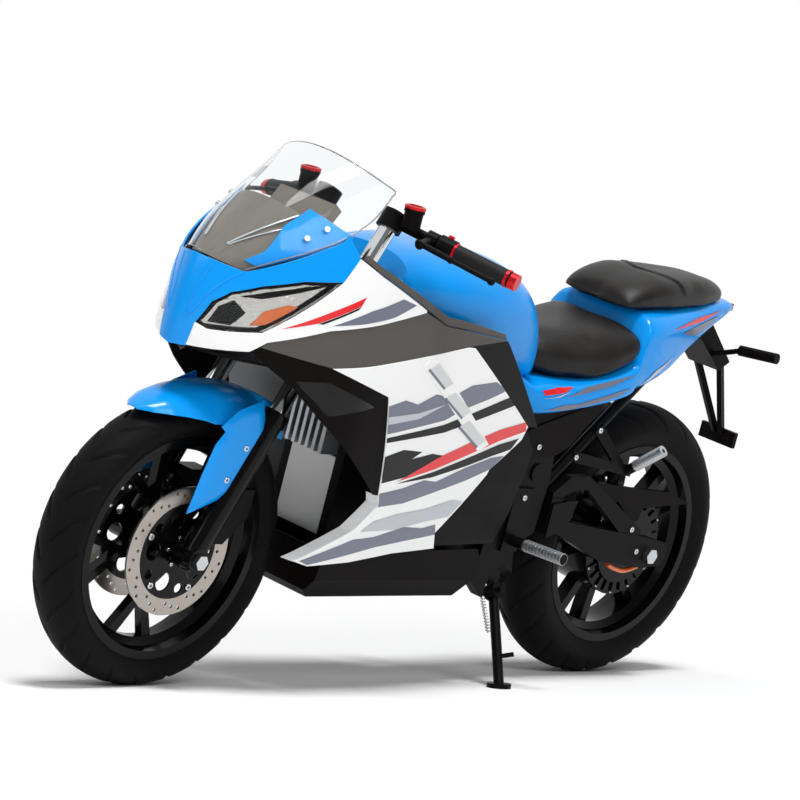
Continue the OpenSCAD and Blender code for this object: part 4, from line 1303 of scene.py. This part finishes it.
@dataclass
class BodyWork:
    """The fairing panels with their lamps, the tank and the tail. Outlines are station and height."""

    headlight: Outline = (
        (1465, 751), (1451, 794), (1430, 821), (1386, 846), (1318, 871), (1247, 882), (1321, 815),
        (1380, 761), (1425, 750), (1453, 744))
    lamp_amber: Outline = ((1402, 768), (1384, 800), (1346, 822), (1330, 822), (1360, 782))
    lamp_shade: Outline = ((1456, 756), (1446, 790), (1428, 808), (1410, 790), (1428, 760))
    lamp_bar: Outline = ((1420, 818), (1380, 838), (1318, 862), (1270, 874), (1330, 848), (1390, 822))
    signal: Outline = ((1310, 682), (1248, 692), (1125, 653), (1232, 625))
    signal_ribs: Point3 = (0.26, 0.5, 0.74)
    rib_step: Point2 = (6.0, 3.0)
    nose: Outline = (
        (1500, 690), (1469, 700), (1466, 748), (1452, 796), (1430, 823), (1386, 848), (1318, 873),
        (1247, 884), (1211, 933), (1234, 972), (1244, 958), (1330, 912), (1414, 866), (1445, 872),
        (1500, 885))
    creases: tuple[Outline, ...] = (
        ((1452, 868), (1462, 835), (1470, 800), (1474, 765)),
        ((1414, 866), (1440, 838), (1458, 806), (1468, 775), (1474, 758)))
    crease_r: float = 2.4
    crease_inset: float = 0.8
    upper: Outline = (
        (1469, 702), (1441, 708), (1393, 720), (1369, 745), (1264, 790), (1026, 845), (1027, 850),
        (1098, 880), (1158, 905), (1211, 933), (1247, 883), (1321, 815), (1380, 761), (1425, 749),
        (1453, 743), (1466, 750))
    # The wedge is one moulding drawn in two tones: its upper facet in lighter charcoal as painted light, its
    # lower facet in black as painted shade.
    wedge_lit_facet: Outline = (
        (1380, 733), (1246, 719), (875, 781), (862, 783), (747, 796), (884, 813), (957, 820), (1026, 845),
        (1264, 790), (1369, 745))
    wedge_shaded_facet: Outline = (
        (1390, 720), (1359, 697), (1317, 672), (1244, 613), (1174, 565), (1041, 466), (1023, 464),
        (1092, 674), (1246, 719), (1380, 733))
    side: Outline = (
        (1246, 719), (875, 781), (854, 780), (601, 615), (610, 586), (690, 520), (692, 510), (786, 377),
        (764, 340), (896, 331), (1017, 312), (1133, 303), (1178, 314), (1054, 386), (1011, 445),
        (1023, 464), (1092, 674))
    chin: Outline = ((1023, 464), (1011, 445), (1030, 418), (1054, 386), (1095, 362), (1136, 338),
                     (1178, 314))
    chin_turn: Point3 = (18.0, -20.0, 3.0)
    chin_cols: int = 5
    chin_step: float = 8.0
    chin_inset: float = 1.0
    knee: Outline = ((854, 780), (862, 783), (747, 796), (564, 612), (601, 615))
    tank_strip: Outline = (
        (1205, 931), (1158, 906), (1098, 881), (1027, 851), (957, 821), (884, 814), (752, 797),
        (760, 809), (884, 830), (957, 838), (1027, 868), (1098, 897), (1158, 921), (1196, 941))
    # Columns of both: station, half width, low edge, high edge and squareness.
    tank_rows: Rows = (
        (1052, 80, 838, 890, 2.2), (1040, 108, 815, 903, 2.4), (1000, 138, 785, 922, 2.6),
        (920, 158, 752, 940, 2.8), (840, 164, 732, 946, 2.8), (760, 160, 716, 943, 2.7),
        (680, 148, 704, 931, 3), (610, 132, 694, 905, 3.2), (560, 118, 684, 868, 3.4),
        (536, 110, 680, 834, 3.4), (518, 102, 680, 790, 3.2), (512, 94, 684, 760, 3))
    tail_rows: Rows = (
        (574, 112, 664, 712, 4), (546, 124, 638, 702, 4), (516, 134, 616, 692, 4.2),
        (480, 144, 619, 698, 4.5), (400, 150, 632, 702, 4.6), (300, 155, 652, 724, 4.6),
        (240, 153, 666, 748, 4.6), (226, 151, 670, 764, 4.6), (216, 149, 673, 838, 4.6),
        (205, 147, 675, 854, 4.6), (176, 144, 682, 860, 4.4), (100, 126, 706, 866, 4.2),
        (0, 96, 764, 874, 4), (-100, 66, 815, 882, 3.6), (-170, 44, 845, 882, 3),
        (-196, 32, 856, 876, 2.6))
    lip: Outline = ((520, 575), (524, 640), (400, 652), (300, 676), (252, 690), (277, 662), (370, 630),
                    (471, 597))
    lip_y: float = 121.0
    lip_step: float = 10.0
    lip_wall: float = 3.0

    def lamps(self) -> None:
        """Builds what is seen inside the headlights."""
        FairingPanel("lamp_reflector", shrink(self.headlight, 0.975, 0.96), Paint.MIRROR, "chrome",
                     inset=11.0, wall=2.0, step=6.0, round_mm=0.0).build()
        FairingPanel("lamp_amber", self.lamp_amber, Paint.AMBER, "clear_glass", inset=7.0, wall=3.0,
                     step=5.0).build()
        FairingPanel("lamp_shade", self.lamp_shade, Paint.GLOSS, "black_plastic", inset=7.0, wall=3.0,
                     step=5.0).build()
        FairingPanel("lamp_bar", self.lamp_bar, Paint.BLACK, "black_plastic", inset=8.0, wall=2.0,
                     step=5.0).build()

    def signals(self) -> None:
        """Builds the turn signals: a clear lens over a faceted reflector, an amber core and dark ribs."""
        FairingPanel("signal_lens", self.signal, Paint.LENS, "clear_glass", inset=-2.0, wall=3.0,
                     nodes=("front_signals",), step=6.0, round_mm=1.0).build()
        FairingPanel("signal_reflector", self.signal, Paint.MIRROR, "chrome", inset=7.0, wall=2.0, step=6.0,
                     round_mm=0.0).build()
        FairingPanel("signal_core", shrink(self.signal, 0.5, 0.5), Paint.AMBER, "clear_glass", inset=4.5,
                     wall=2.0, step=5.0).build()
        front, top, back, low = self.signal
        dx, dz = self.rib_step
        for k, share in enumerate(self.signal_ribs):
            ax, az = (a + (b - a) * share for a, b in zip(front, low))
            bx, bz = (a + (b - a) * share for a, b in zip(top, back))
            rib = ((ax, az), (bx, bz), (bx - dx, bz - dz), (ax - dx, az - dz))
            FairingPanel("signal_rib_%d" % k, rib, Paint.INK, "black_plastic", inset=3.5, wall=1.0, step=6.0,
                         round_mm=0.0, joined=True).build()

    def folds(self) -> None:
        """Builds the nose's folded edges, which meet at the beak, and the dark strip under the tank."""
        for name, side in SIDES:
            for k, line in enumerate(self.creases):
                at = [SURFACE.point(*SURFACE.chart(x, z), self.crease_inset) / MM for x, z in line]
                Tube("nose_crease_%s_%d" % (name, k), [mirrored(p, side) for p in at], self.crease_r,
                     Paint.BLUE, "chassis", "blue_paint").build()
        FairingPanel("tank_strip", self.tank_strip, Paint.CHARCOAL, "charcoal_plastic", inset=5.0,
                     wall=3.0).build()

    @staticmethod
    def steer_room(radius: float = 133.0, back: float = 58.0, low: float = 540.0, tall: float = 320.0,
                   rake: float = 25.0, foot: Point3 = (1347.81, 0.0, 279.82),
                   count: int = 40) -> tuple[list[Vector], Faces]:
        """Draws the closed form that the fork and bars sweep, which the tank keeps clear of.

        Args:
            radius: swept radius round the steering axis.
            back: flat back's distance behind the axis.
            low: start along the axis.
            tall: length along the axis.
            rake: steering axis angle in degrees.
            foot: a point low on the axis.
            count: steps round the sweep.

        Returns:
            Points in metres and faces.
        """
        axis = Vector((-math.sin(math.radians(rake)), 0.0, math.cos(math.radians(rake))))
        ahead = Vector((axis.z, 0.0, -axis.x))
        reach = math.acos(-back / radius)
        verts = []
        for s in (low, low + tall):
            for k in range(count + 1):
                a = -reach + 2 * reach * k / count
                out = ahead * radius * math.cos(a) + Vector((0, radius * math.sin(a), 0))
                verts.append((Vector(foot) + axis * s + out) * MM)
        return verts, tube_faces(2, count + 1)

    def edges(self) -> None:
        """Builds the black lips under the tail and the pale turned-in edges of the side fairings."""
        flat, tris = fill([walk(self.lip, self.lip_step)], self.lip_step)
        for name, side in SIDES:
            verts = [Vector((x, side * self.lip_y, z)) * MM for x, z in flat]
            made = Shop.mesh("tail_lip_" + name, verts, tris, Paint.BLACK, "chassis", "black_plastic")
            Shop.thicken(made, self.lip_wall, offset=0.0)
        n = self.chin_cols
        for name, side in SIDES:
            grid = []
            for x, z in walk(self.chin, self.chin_step, closed=False):
                at = SURFACE.point(*SURFACE.chart(x, z), self.chin_inset) / MM
                row = [at + Vector(self.chin_turn) * (k / n) for k in range(n + 1)]
                grid.append([mirrored(p, side) for p in row])
            # The turned-in edge is drawn in greyed white as painted shade.
            Sheet("chin_edge_" + name, grid, 2.0, Paint.SHADED_WHITE, "chassis", "white_paint").build()

    def build(self) -> None:
        """Builds every skin."""
        FairingPanel("nose_skin", self.nose, Paint.BLUE, "blue_paint", nodes=("nose_cowl",),
                     joined=True).build()
        uppers = FairingPanel("upper_skin", self.upper, Paint.WHITE, "white_paint",
                              nodes=("upper_panels",)).build()
        # Painted light and shade: the wedge's upper facet in lighter charcoal, its lower facet in black.
        FairingPanel("wedge_skin", self.wedge_lit_facet, Paint.CHARCOAL, "charcoal_plastic", inset=2.0,
                     nodes=("wedge_panels",)).build()
        FairingPanel("wedge_low_skin", self.wedge_shaded_facet, Paint.BLACK, "charcoal_plastic", inset=3.0,
                     nodes=("wedge_panels",), holes=(self.signal,)).build()
        sides = FairingPanel("side_skin", self.side, Paint.WHITE, "white_paint",
                             nodes=("side_fairings",)).build()
        FairingPanel("knee_skin", self.knee, Paint.PAD, "black_plastic", inset=1.0,
                     nodes=("knee_pads",)).build()
        self.signals()
        self.folds()
        FairingPanel("lamp_lens", self.headlight, Paint.LENS, "clear_glass", inset=2.0, wall=3.0,
                     nodes=("headlight_lenses",), step=7.0, round_mm=0.6).build()
        LoftBody("tank_skin", self.tank_rows, Paint.BLUE, "blue_paint", ("tank_cover",), around=64,
                 room=self.steer_room()).build()
        tail = LoftBody("tail_skin", self.tail_rows, Paint.BLUE, "blue_paint", ("tail_cowl",),
                        around=96).build()
        self.lamps()
        self.edges()
        Graphics().build(sides, uppers, tail)


@dataclass
class Seat:
    """A padded vinyl seat, filled out like a cover over foam."""

    name: str
    node: str
    # Columns: station, half width, low edge, high edge and squareness.
    rows: Rows
    seam_fronts: tuple[float, ...] = ()
    seam_half: float = 96.0
    seam_sweep: float = 62.0
    seam_power: float = 1.6
    seam_steps: int = 16
    seam_r: float = 2.4
    draw_in: float = 3.0
    voxel: float = 5.0
    cap: float = 6.0
    pressure: float = 4.0
    frames: int = 20
    passes: int = 25

    def swell(self, made: Piece) -> np.ndarray:
        """Lets a cloth simulation blow the cover out and reads how far each point moved.

        Args:
            made: the remeshed cover.

        Returns:
            Movement along each point's normal in metres, capped and evened out.
        """
        before = np.array([v.co for v in made.data.vertices])
        cloth = made.modifiers.new("cover", "CLOTH")
        cloth.settings.use_pressure = True
        cloth.settings.uniform_pressure_force = self.pressure
        cloth.settings.effector_weights.gravity = 0.0
        scene = bpy.context.scene
        for step in range(1, self.frames + 1):
            scene.frame_set(step)
        shaped = made.evaluated_get(bpy.context.evaluated_depsgraph_get())
        after = np.array([v.co for v in shaped.data.vertices])
        made.modifiers.remove(cloth)
        scene.frame_set(1)
        normals = np.array([v.normal for v in made.data.vertices])
        move = np.clip(np.sum((after - before) * normals, axis=1), -self.cap * MM, self.cap * MM)
        a, b = np.array([e.vertices for e in made.data.edges]).T
        count = len(move)
        links = np.bincount(np.concatenate((a, b)), minlength=count)
        for _ in range(self.passes):
            total = np.bincount(a, move[b], count) + np.bincount(b, move[a], count)
            move = 0.5 * move + 0.5 * total / links
        return move

    def build(self) -> Piece:
        """Builds the seat over its CAD node.

        Returns:
            The object made.
        """
        loft = LoftBody(self.name, self.rows, Paint.VINYL, "seat_leather", step=10.0, around=56, cushion=True)
        verts, faces = loft.shell(-self.draw_in)
        made = Shop.mesh(self.name, verts, faces, Paint.VINYL, "chassis", "seat_leather", angle=180.0)
        bpy.context.view_layer.objects.active = made
        made.data.remesh_voxel_size = self.voxel * MM
        with bpy.context.temp_override(active_object=made, object=made, selected_objects=[made]):
            bpy.ops.object.voxel_remesh()
        move = self.swell(made)
        normals = [v.normal.copy() for v in made.data.vertices]
        for v, normal, far in zip(made.data.vertices, normals, move):
            v.co += normal * far
        for face in made.data.polygons:
            face.use_smooth = True
        Shop.modifier(made, "SUBSURF", levels=1, render_levels=1)
        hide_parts(self.node)
        self.seams(made)
        LOG.info("seat %s: filled out by %.1f mm", self.name, float(move.max()) / MM)
        return made

    def seams(self, cover: Piece) -> None:
        """Lays the sewn beads across the cover.

        Args:
            cover: the filled cover.
        """
        tree = tree_of(cover)
        n = self.seam_steps
        for k, front in enumerate(self.seam_fronts):
            path = []
            for j in range(-n, n + 1):
                x = front - self.seam_sweep * (abs(j) / n) ** self.seam_power
                above = Vector((x * MM, self.seam_half * j / n * MM, 1.2))
                at, _, _, _ = tree.ray_cast(above, Vector((0, 0, -1)))
                if at is not None:
                    path.append(at / MM)
            Tube(self.name + "_seam_%d" % k, path, self.seam_r, Paint.VINYL, "chassis", "seat_leather",
                 fine=3).build()


@dataclass
class Trim:
    """Bolts, caps and small bright pieces, in millimetres of the left side."""

    bar_in: Point3 = (1047.47, 95.0, 994.89)
    bar_way: Point3 = (-47.0, 125.0, -21.0)
    bar_rings: Point2 = (229.0, 340.0)
    cap_y: float = 150.0
    cap_off: Point3 = (26.0, 0.0, 50.0)
    switch_y: float = 212.0
    switch_off: Point3 = (-6.0, 0.0, 20.0)
    # Columns: name, inner end, outer end and sleeve radius.
    foot_pegs: tuple[tuple[str, Point3, Point3, float], ...] = (
        ("rider", (472.0, 130.0, 345.0), (470.0, 275.0, 352.0), 12.6),
        ("pillion", (134.0, 114.0, 500.0), (130.0, 196.0, 574.0), 12.0))
    peg_ribs: int = 12
    # Shares of a peg's length: first rib and the ribs' run, then the sleeve's first two points.
    rib_span: Point2 = (0.3, 0.68)
    sleeve_span: Point2 = (0.26, 0.6)
    rib_over: float = 0.7
    rib_tall: float = 2.4
    rotor_y: float = 60.0
    # Columns: name, pitch radius, start angle in degrees and head radius.
    rotor_rings: tuple[tuple[str, float, float, float], ...] = (
        ("rotor_bolts_", 88.0, 20.0, 7.0), ("carrier_bolts_", 29.0, 8.0, 4.0))
    motor_y: float = 56.0
    frame_bolts: tuple[Point3, ...] = (
        (462.0, 126.0, 552.0), (78.0, 128.0, 372.0), (45.0, 130.0, 322.0), (324.0, 120.0, 530.0),
        (266.0, 120.0, 592.0), (470.0, 130.0, 440.0))
    battery_x: float = 1001.5
    battery_half: float = 62.0
    battery_z: Point2 = (332.0, 495.0)
    clip: tuple[Point3, ...] = ((112.0, 116.0, 286.0), (88.0, 116.0, 278.0), (50.0, 116.0, 272.0),
                                (10.0, 116.0, 282.0))

    def bar(self, y: float, side: float) -> Vector:
        """Returns the bar's centre at a distance out from the middle."""
        share = (y - self.bar_in[1]) / self.bar_way[1]
        return mirrored(Vector(self.bar_in) + Vector(self.bar_way) * share, side)

    @staticmethod
    def ring(centre: Point3, radius: float, count: int, side: float,
             turn: float = 0.0) -> list[tuple[Vector, Vector]]:
        """Places bolts round an axle.

        Args:
            centre: middle of the ring.
            radius: pitch radius.
            count: number of bolts.
            side: which way the heads face.
            turn: start angle in degrees.

        Returns:
            Places and directions.
        """
        out = []
        for k in range(count):
            a = math.radians(turn + 360.0 * k / count)
            at = Vector(centre) + Vector((radius * math.cos(a), 0.0, radius * math.sin(a)))
            out.append((at, Vector((0.0, side, 0.0))))
        return out

    def controls(self) -> None:
        """Builds the red caps, rings and switch on the bars."""
        for name, side in SIDES:
            way = mirrored(Vector(self.bar_way), side)
            cap = self.bar(self.cap_y, side) + Vector(self.cap_off)
            rings = [(self.bar(y, side), way) for y in self.bar_rings]
            switch = self.bar(self.switch_y, side) + Vector(self.switch_off)
            Fixings("reservoir_cap_" + name, [(cap, Vector((0, 0, 1)))], 21.6, 5.0, Paint.ANODISED,
                    "steering", "red_metal", socket=0.7).build()
            Fixings("bar_rings_" + name, rings, 18.6, 5.0, Paint.ANODISED, "steering", "red_metal",
                    socket=0.62).build()
            Fixings("kill_switch_" + name, [(switch, Vector((-0.3, 0.0, 1.0)))], 6.5, 5.0, Paint.ANODISED,
                    "steering", "red_metal", socket=0.3).build()

    def wheels(self) -> None:
        """Builds the rotor, carrier and motor cover bolts."""
        for name, side in SIDES:
            at = (FRONT_AXLE[0], side * self.rotor_y, FRONT_AXLE[1])
            for kind, pitch, turn, head in self.rotor_rings:
                Fixings(kind + name, self.ring(at, pitch, 5, side, turn), head, 4.0, Paint.ZINC,
                        "front_wheel", "steel").build()
        rear = (REAR_AXLE[0], self.motor_y, REAR_AXLE[1])
        Fixings("motor_bolts", self.ring(rear, 112.0, 12, 1.0), 4.0, 3.5, Paint.ZINC, "rear_wheel",
                "steel").build()

    def body(self) -> None:
        """Builds the panel bolts, the silver battery face and the amber clip."""
        heads = [(Vector((x, side * y, z)), Vector((0, side, 0))) for _, side in SIDES
                 for x, y, z in self.frame_bolts]
        Fixings("frame_bolts", heads, 6.5, 4.0, Paint.ZINC, "chassis", "steel").build()
        face = [[Vector((self.battery_x, y, z)) for y in (-self.battery_half, self.battery_half)]
                for z in self.battery_z]
        Sheet("battery_face", face, 3.0, Paint.SILVER, "chassis", "alloy").build()
        Tube("amber_clip", [Vector(p) for p in self.clip], 5.5, Paint.AMBER, "chassis", "red_plastic").build()

    def pegs(self) -> None:
        """Builds the ribbed alloy sleeves on the foot pegs."""
        last = self.peg_ribs - 1
        first, run = self.rib_span
        for name, side in SIDES:
            for kind, start, end, r in self.foot_pegs:
                a = mirrored(Vector(start), side)
                b = mirrored(Vector(end), side)
                way = b - a
                rings = [(a + way * (first + run * k / last), way) for k in range(self.peg_ribs)]
                sleeve = [a + way * share for share in self.sleeve_span] + [b]
                Fixings("%s_peg_ribs_%s" % (kind, name), rings, r + self.rib_over, self.rib_tall,
                        Paint.ALLOY, "chassis", "alloy", socket=0.4).build()
                Tube("%s_peg_sleeve_%s" % (kind, name), sleeve, r, Paint.ALLOY, "chassis", "alloy",
                     around=24).build()

    def build(self) -> None:
        """Builds all trims."""
        self.pegs()
        self.controls()
        self.wheels()
        self.body()


@dataclass
class StandSpring:
    """The side stand's return spring, a wound coil that bends between the frame and the leg."""

    top: Point3 = (507.0, 120.0, 214.0)
    foot: Point3 = (507.65, 160.34, 149.94)
    coil: float = 4.3
    wire: float = 1.4
    turns: int = 12
    steps: int = 10

    def build(self) -> None:
        """Builds the coil, leaves it tied to no body with its place baked in, and stands it in for the plain
        rod.
        """
        top = Vector(self.top)
        foot = Vector(self.foot)
        way = foot - top
        across = Vector((1.0, 0.0, 0.0))
        other = way.normalized().cross(across)
        count = self.turns * self.steps
        path = []
        for k in range(count + 1):
            a = 2 * math.pi * k / self.steps
            path.append(top + way * (k / count) + (across * math.cos(a) + other * math.sin(a)) * self.coil)
        made = Tube("stand_coil", path, self.wire, Paint.ZINC, "", "steel", around=8, fine=1).build()
        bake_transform(made)
        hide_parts("stand_spring")


@dataclass
class Stage:
    """Floor, soft light and the camera at the photo's angle."""

    # The camera's place in metres and its axes, all in the upright frame.
    eye: Point3 = (6.3110, 4.8463, 1.9410)
    right: Point3 = (-0.672, 0.6986, 0.2457)
    up: Point3 = (0.0343, -0.302, 0.9527)
    lens: float = 163.226
    sensor: float = 36.0
    view_end: float = 100.0
    floor_half: float = 30.0
    paper_near: float = 1.3
    paper_far: float = 3.2
    fill: float = 0.24
    wall_way: Point3 = (-0.70, -0.55, 0.45)
    wall_edge: Point2 = (-0.2, 0.8)
    wall_dim: float = 0.22
    overhead: float = 2.35
    overhead_way: Point3 = (-0.14, -0.28, -0.95)
    overhead_deg: float = 16.0
    aim: Point3 = (0.0, 0.0, 0.5)
    # Columns: name, place in metres, edge length in metres and watts.
    softboxes: tuple[tuple[str, Point3, float, float], ...] = (
        ("key", (2.0, 5.0, 4.5), 2.5, 110.0), ("front", (5.5, -0.5, 3.0), 2.0, 40.0))

    def floor(self) -> None:
        """Lays a plain pale floor."""
        h = self.floor_half
        data = bpy.data.meshes.new("floor")
        data.from_pydata([(-h, -h, 0), (h, -h, 0), (h, h, 0), (-h, h, 0)], [], [[0, 1, 2, 3]])
        floor = Shop.add("floor", data)
        floor.data.materials.append(self.paper())

    def paper(self) -> bpy.types.Material:
        """Makes the floor's matt white paper, which the eye sees as plain white far from the machine.

        Returns:
            The material.
        """
        mat = bpy.data.materials.new("matt white studio paper")
        mat.use_nodes = True
        tree = mat.node_tree
        base = tree.nodes["Principled BSDF"]
        base.inputs["Base Color"].default_value = linear("fcfcfc")
        base.inputs["Roughness"].default_value = 0.9
        base.inputs["Specular IOR Level"].default_value = 0.1
        place = add_node(tree, "ShaderNodeTexCoord", {}, {})
        away = add_node(tree, "ShaderNodeVectorMath", {"operation": "LENGTH"}, {"Vector": (place, "Object")})
        far = add_node(tree, "ShaderNodeMapRange", {"From Min": self.paper_near, "From Max": self.paper_far,
                                                    "interpolation_type": "SMOOTHSTEP"},
                       {"Value": (away, "Value")})
        path = add_node(tree, "ShaderNodeLightPath", {}, {})
        seen = add_node(tree, "ShaderNodeMath", {"operation": "MULTIPLY"},
                        {0: (path, "Is Camera Ray"), 1: (far, "Result")})
        white = add_node(tree, "ShaderNodeEmission", {"Color": linear("ffffff"), "Strength": 1.0}, {})
        mix = add_node(tree, "ShaderNodeMixShader", {},
                       {"Fac": (seen, "Value"), 1: (base, "BSDF"), 2: (white, "Emission")})
        tree.links.new(mix.outputs["Shader"], tree.nodes["Material Output"].inputs["Surface"])
        return mat

    def sky(self) -> bpy.types.World:
        """Makes a studio world, white towards the back wall and dim on the near side.

        Returns:
            The world.
        """
        world = bpy.data.worlds.new("studio")
        world.use_nodes = True
        tree = world.node_tree
        way = add_node(tree, "ShaderNodeTexCoord", {}, {})
        wall = add_node(tree, "ShaderNodeVectorMath", {"operation": "DOT_PRODUCT", 1: self.wall_way},
                        {0: (way, "Generated")})
        level = add_node(tree, "ShaderNodeMapRange",
                         {"From Min": self.wall_edge[0], "From Max": self.wall_edge[1],
                          "To Min": self.wall_dim, "To Max": 1.0, "interpolation_type": "SMOOTHSTEP"},
                         {"Value": (wall, "Value")})
        path = add_node(tree, "ShaderNodeLightPath", {}, {})
        seen = add_node(tree, "ShaderNodeMath", {"operation": "MAXIMUM"},
                        {0: (path, "Is Camera Ray"), 1: (path, "Is Transmission Ray")})
        gloss = add_node(tree, "ShaderNodeMix", {"data_type": "FLOAT", 2: self.fill},
                         {0: (path, "Is Glossy Ray"), 3: (level, "Result")})
        total = add_node(tree, "ShaderNodeMix", {"data_type": "FLOAT", 3: 1.0}, {0: (seen, 0), 2: (gloss, 0)})
        back = tree.nodes["Background"]
        back.inputs["Color"].default_value = linear("ffffff")
        tree.links.new(total.outputs[0], back.inputs["Strength"])
        return world

    def lights(self) -> None:
        """Adds a wide overhead light, which also lights the far floor evenly, and the soft area lights."""
        data = bpy.data.lights.new("overhead", "SUN")
        data.energy = self.overhead
        data.angle = math.radians(self.overhead_deg)
        lamp = Shop.add("overhead", data)
        lamp.rotation_euler = Vector(self.overhead_way).to_track_quat("-Z", "Y").to_euler()
        for name, at, size, power in self.softboxes:
            data = bpy.data.lights.new(name, "AREA")
            data.shape = "SQUARE"
            data.size = size
            data.energy = power
            lamp = Shop.add(name, data)
            lamp.location = at
            lamp.rotation_euler = (Vector(self.aim) - Vector(at)).to_track_quat("-Z", "Y").to_euler()

    def camera(self) -> None:
        """Sets the camera."""
        turn = LEAN.to_3x3()
        right = turn @ Vector(self.right)
        back = right.cross(turn @ Vector(self.up)).normalized()
        up = back.cross(right)
        data = bpy.data.cameras.new("photo_camera")
        data.lens = self.lens
        data.sensor_width = self.sensor
        data.clip_end = self.view_end
        camera = Shop.add("photo_camera", data)
        axes = Matrix((right, up, back)).transposed().to_4x4()
        camera.matrix_world = Matrix.Translation(LEAN @ Vector(self.eye)) @ axes
        bpy.context.scene.camera = camera

    def build(self) -> None:
        """Sets floor, light and camera."""
        self.floor()
        self.lights()
        bpy.context.scene.world = self.sky()
        self.camera()
        bpy.context.scene.view_settings.view_transform = "Standard"


def dress_nodes() -> None:
    """Gives every CAD node that shows its finish."""
    # Columns: finish, edge rounding in millimetres and nodes.
    for paint, bevel_mm, nodes in (
            (Paint.GLOSS, 1.5, ("front_wheel", "rear_wheel", "front_carriers")),
            (Paint.GLOSS, 1.2, ("fork_sliders",)),
            (Paint.STEEL, 0.4, ("front_rotors", "rear_rotor")),
            (Paint.CHROME, 0.6, ("fork_tubes",)),
            (Paint.ZINC, 0.6, ("front_axle_bar", "rear_axle_bar")),
            (Paint.SATIN, 1.2, ("triple_clamp", "top_clamp", "handlebars", "levers", "front_calipers",
                                "rear_caliper", "head_tube", "frame_left", "frame_right", "battery_box",
                                "cradle", "swingarm_pivot", "swingarm_left", "swingarm_right", "subframe",
                                "side_stand", "rear_shock", "body_stays")),
            (Paint.SATIN, 0.6, ("rider_pegs", "pillion_pegs")),
            (Paint.ALLOY, 1.2, ("heat_sink",)),
            (Paint.GRIP, 1.0, ("grips",)),
            (Paint.ANODISED, 1.0, ("bar_ends",)),
            (Paint.BLACK, 1.0, ("reservoirs", "belly_pan", "side_covers", "inner_panels", "under_nose",
                                "hugger", "plate_bracket", "rear_signals", "headlight_bowls")),
            (Paint.DASH, 1.0, ("dash_cowl",)),
            (Paint.LAMP, 0.6, ("tail_light",))):
        Shop.dress(paint, bevel_mm, nodes)


def main() -> None:
    """Builds the machine piece by piece."""
    dress_nodes()
    BodyWork().build()
    Windscreen().build()
    FrontFender().build()
    Tyre("front_tyre_tread", "front_tyre", "front_wheel", FRONT_AXLE, FRONT_RADIUS, 112.0, 44.0).build()
    Tyre("rear_tyre_tread", "rear_tyre", "rear_wheel", REAR_AXLE, REAR_RADIUS, 140.0, 58.0).build()
    Seat("rider_cover", "rider_seat", (
        (516, 66, 716, 764, 2.6), (500, 92, 708, 784, 2.8), (450, 120, 700, 792, 3), (370, 140, 702, 802, 3),
        (290, 152, 726, 816, 3.2), (245, 152, 750, 824, 3.2), (228, 146, 762, 822, 3))).build()
    Seat("pillion_cover", "pillion_seat", (
        (262, 74, 858, 868, 3), (250, 98, 856, 882, 3), (215, 110, 857, 904, 3), (175, 114, 859, 919, 3),
        (141, 114, 861, 927, 3), (60, 105, 865, 929, 3), (-30, 88, 870, 928, 3), (-90, 68, 876, 922, 3),
        (-128, 50, 880, 913, 2.8), (-140, 40, 883, 908, 2.6)), seam_fronts=(141.0, 131.0)).build()
    Trim().build()
    StandSpring().build()
    Stage().build()


if __name__ == "__main__":
    main()
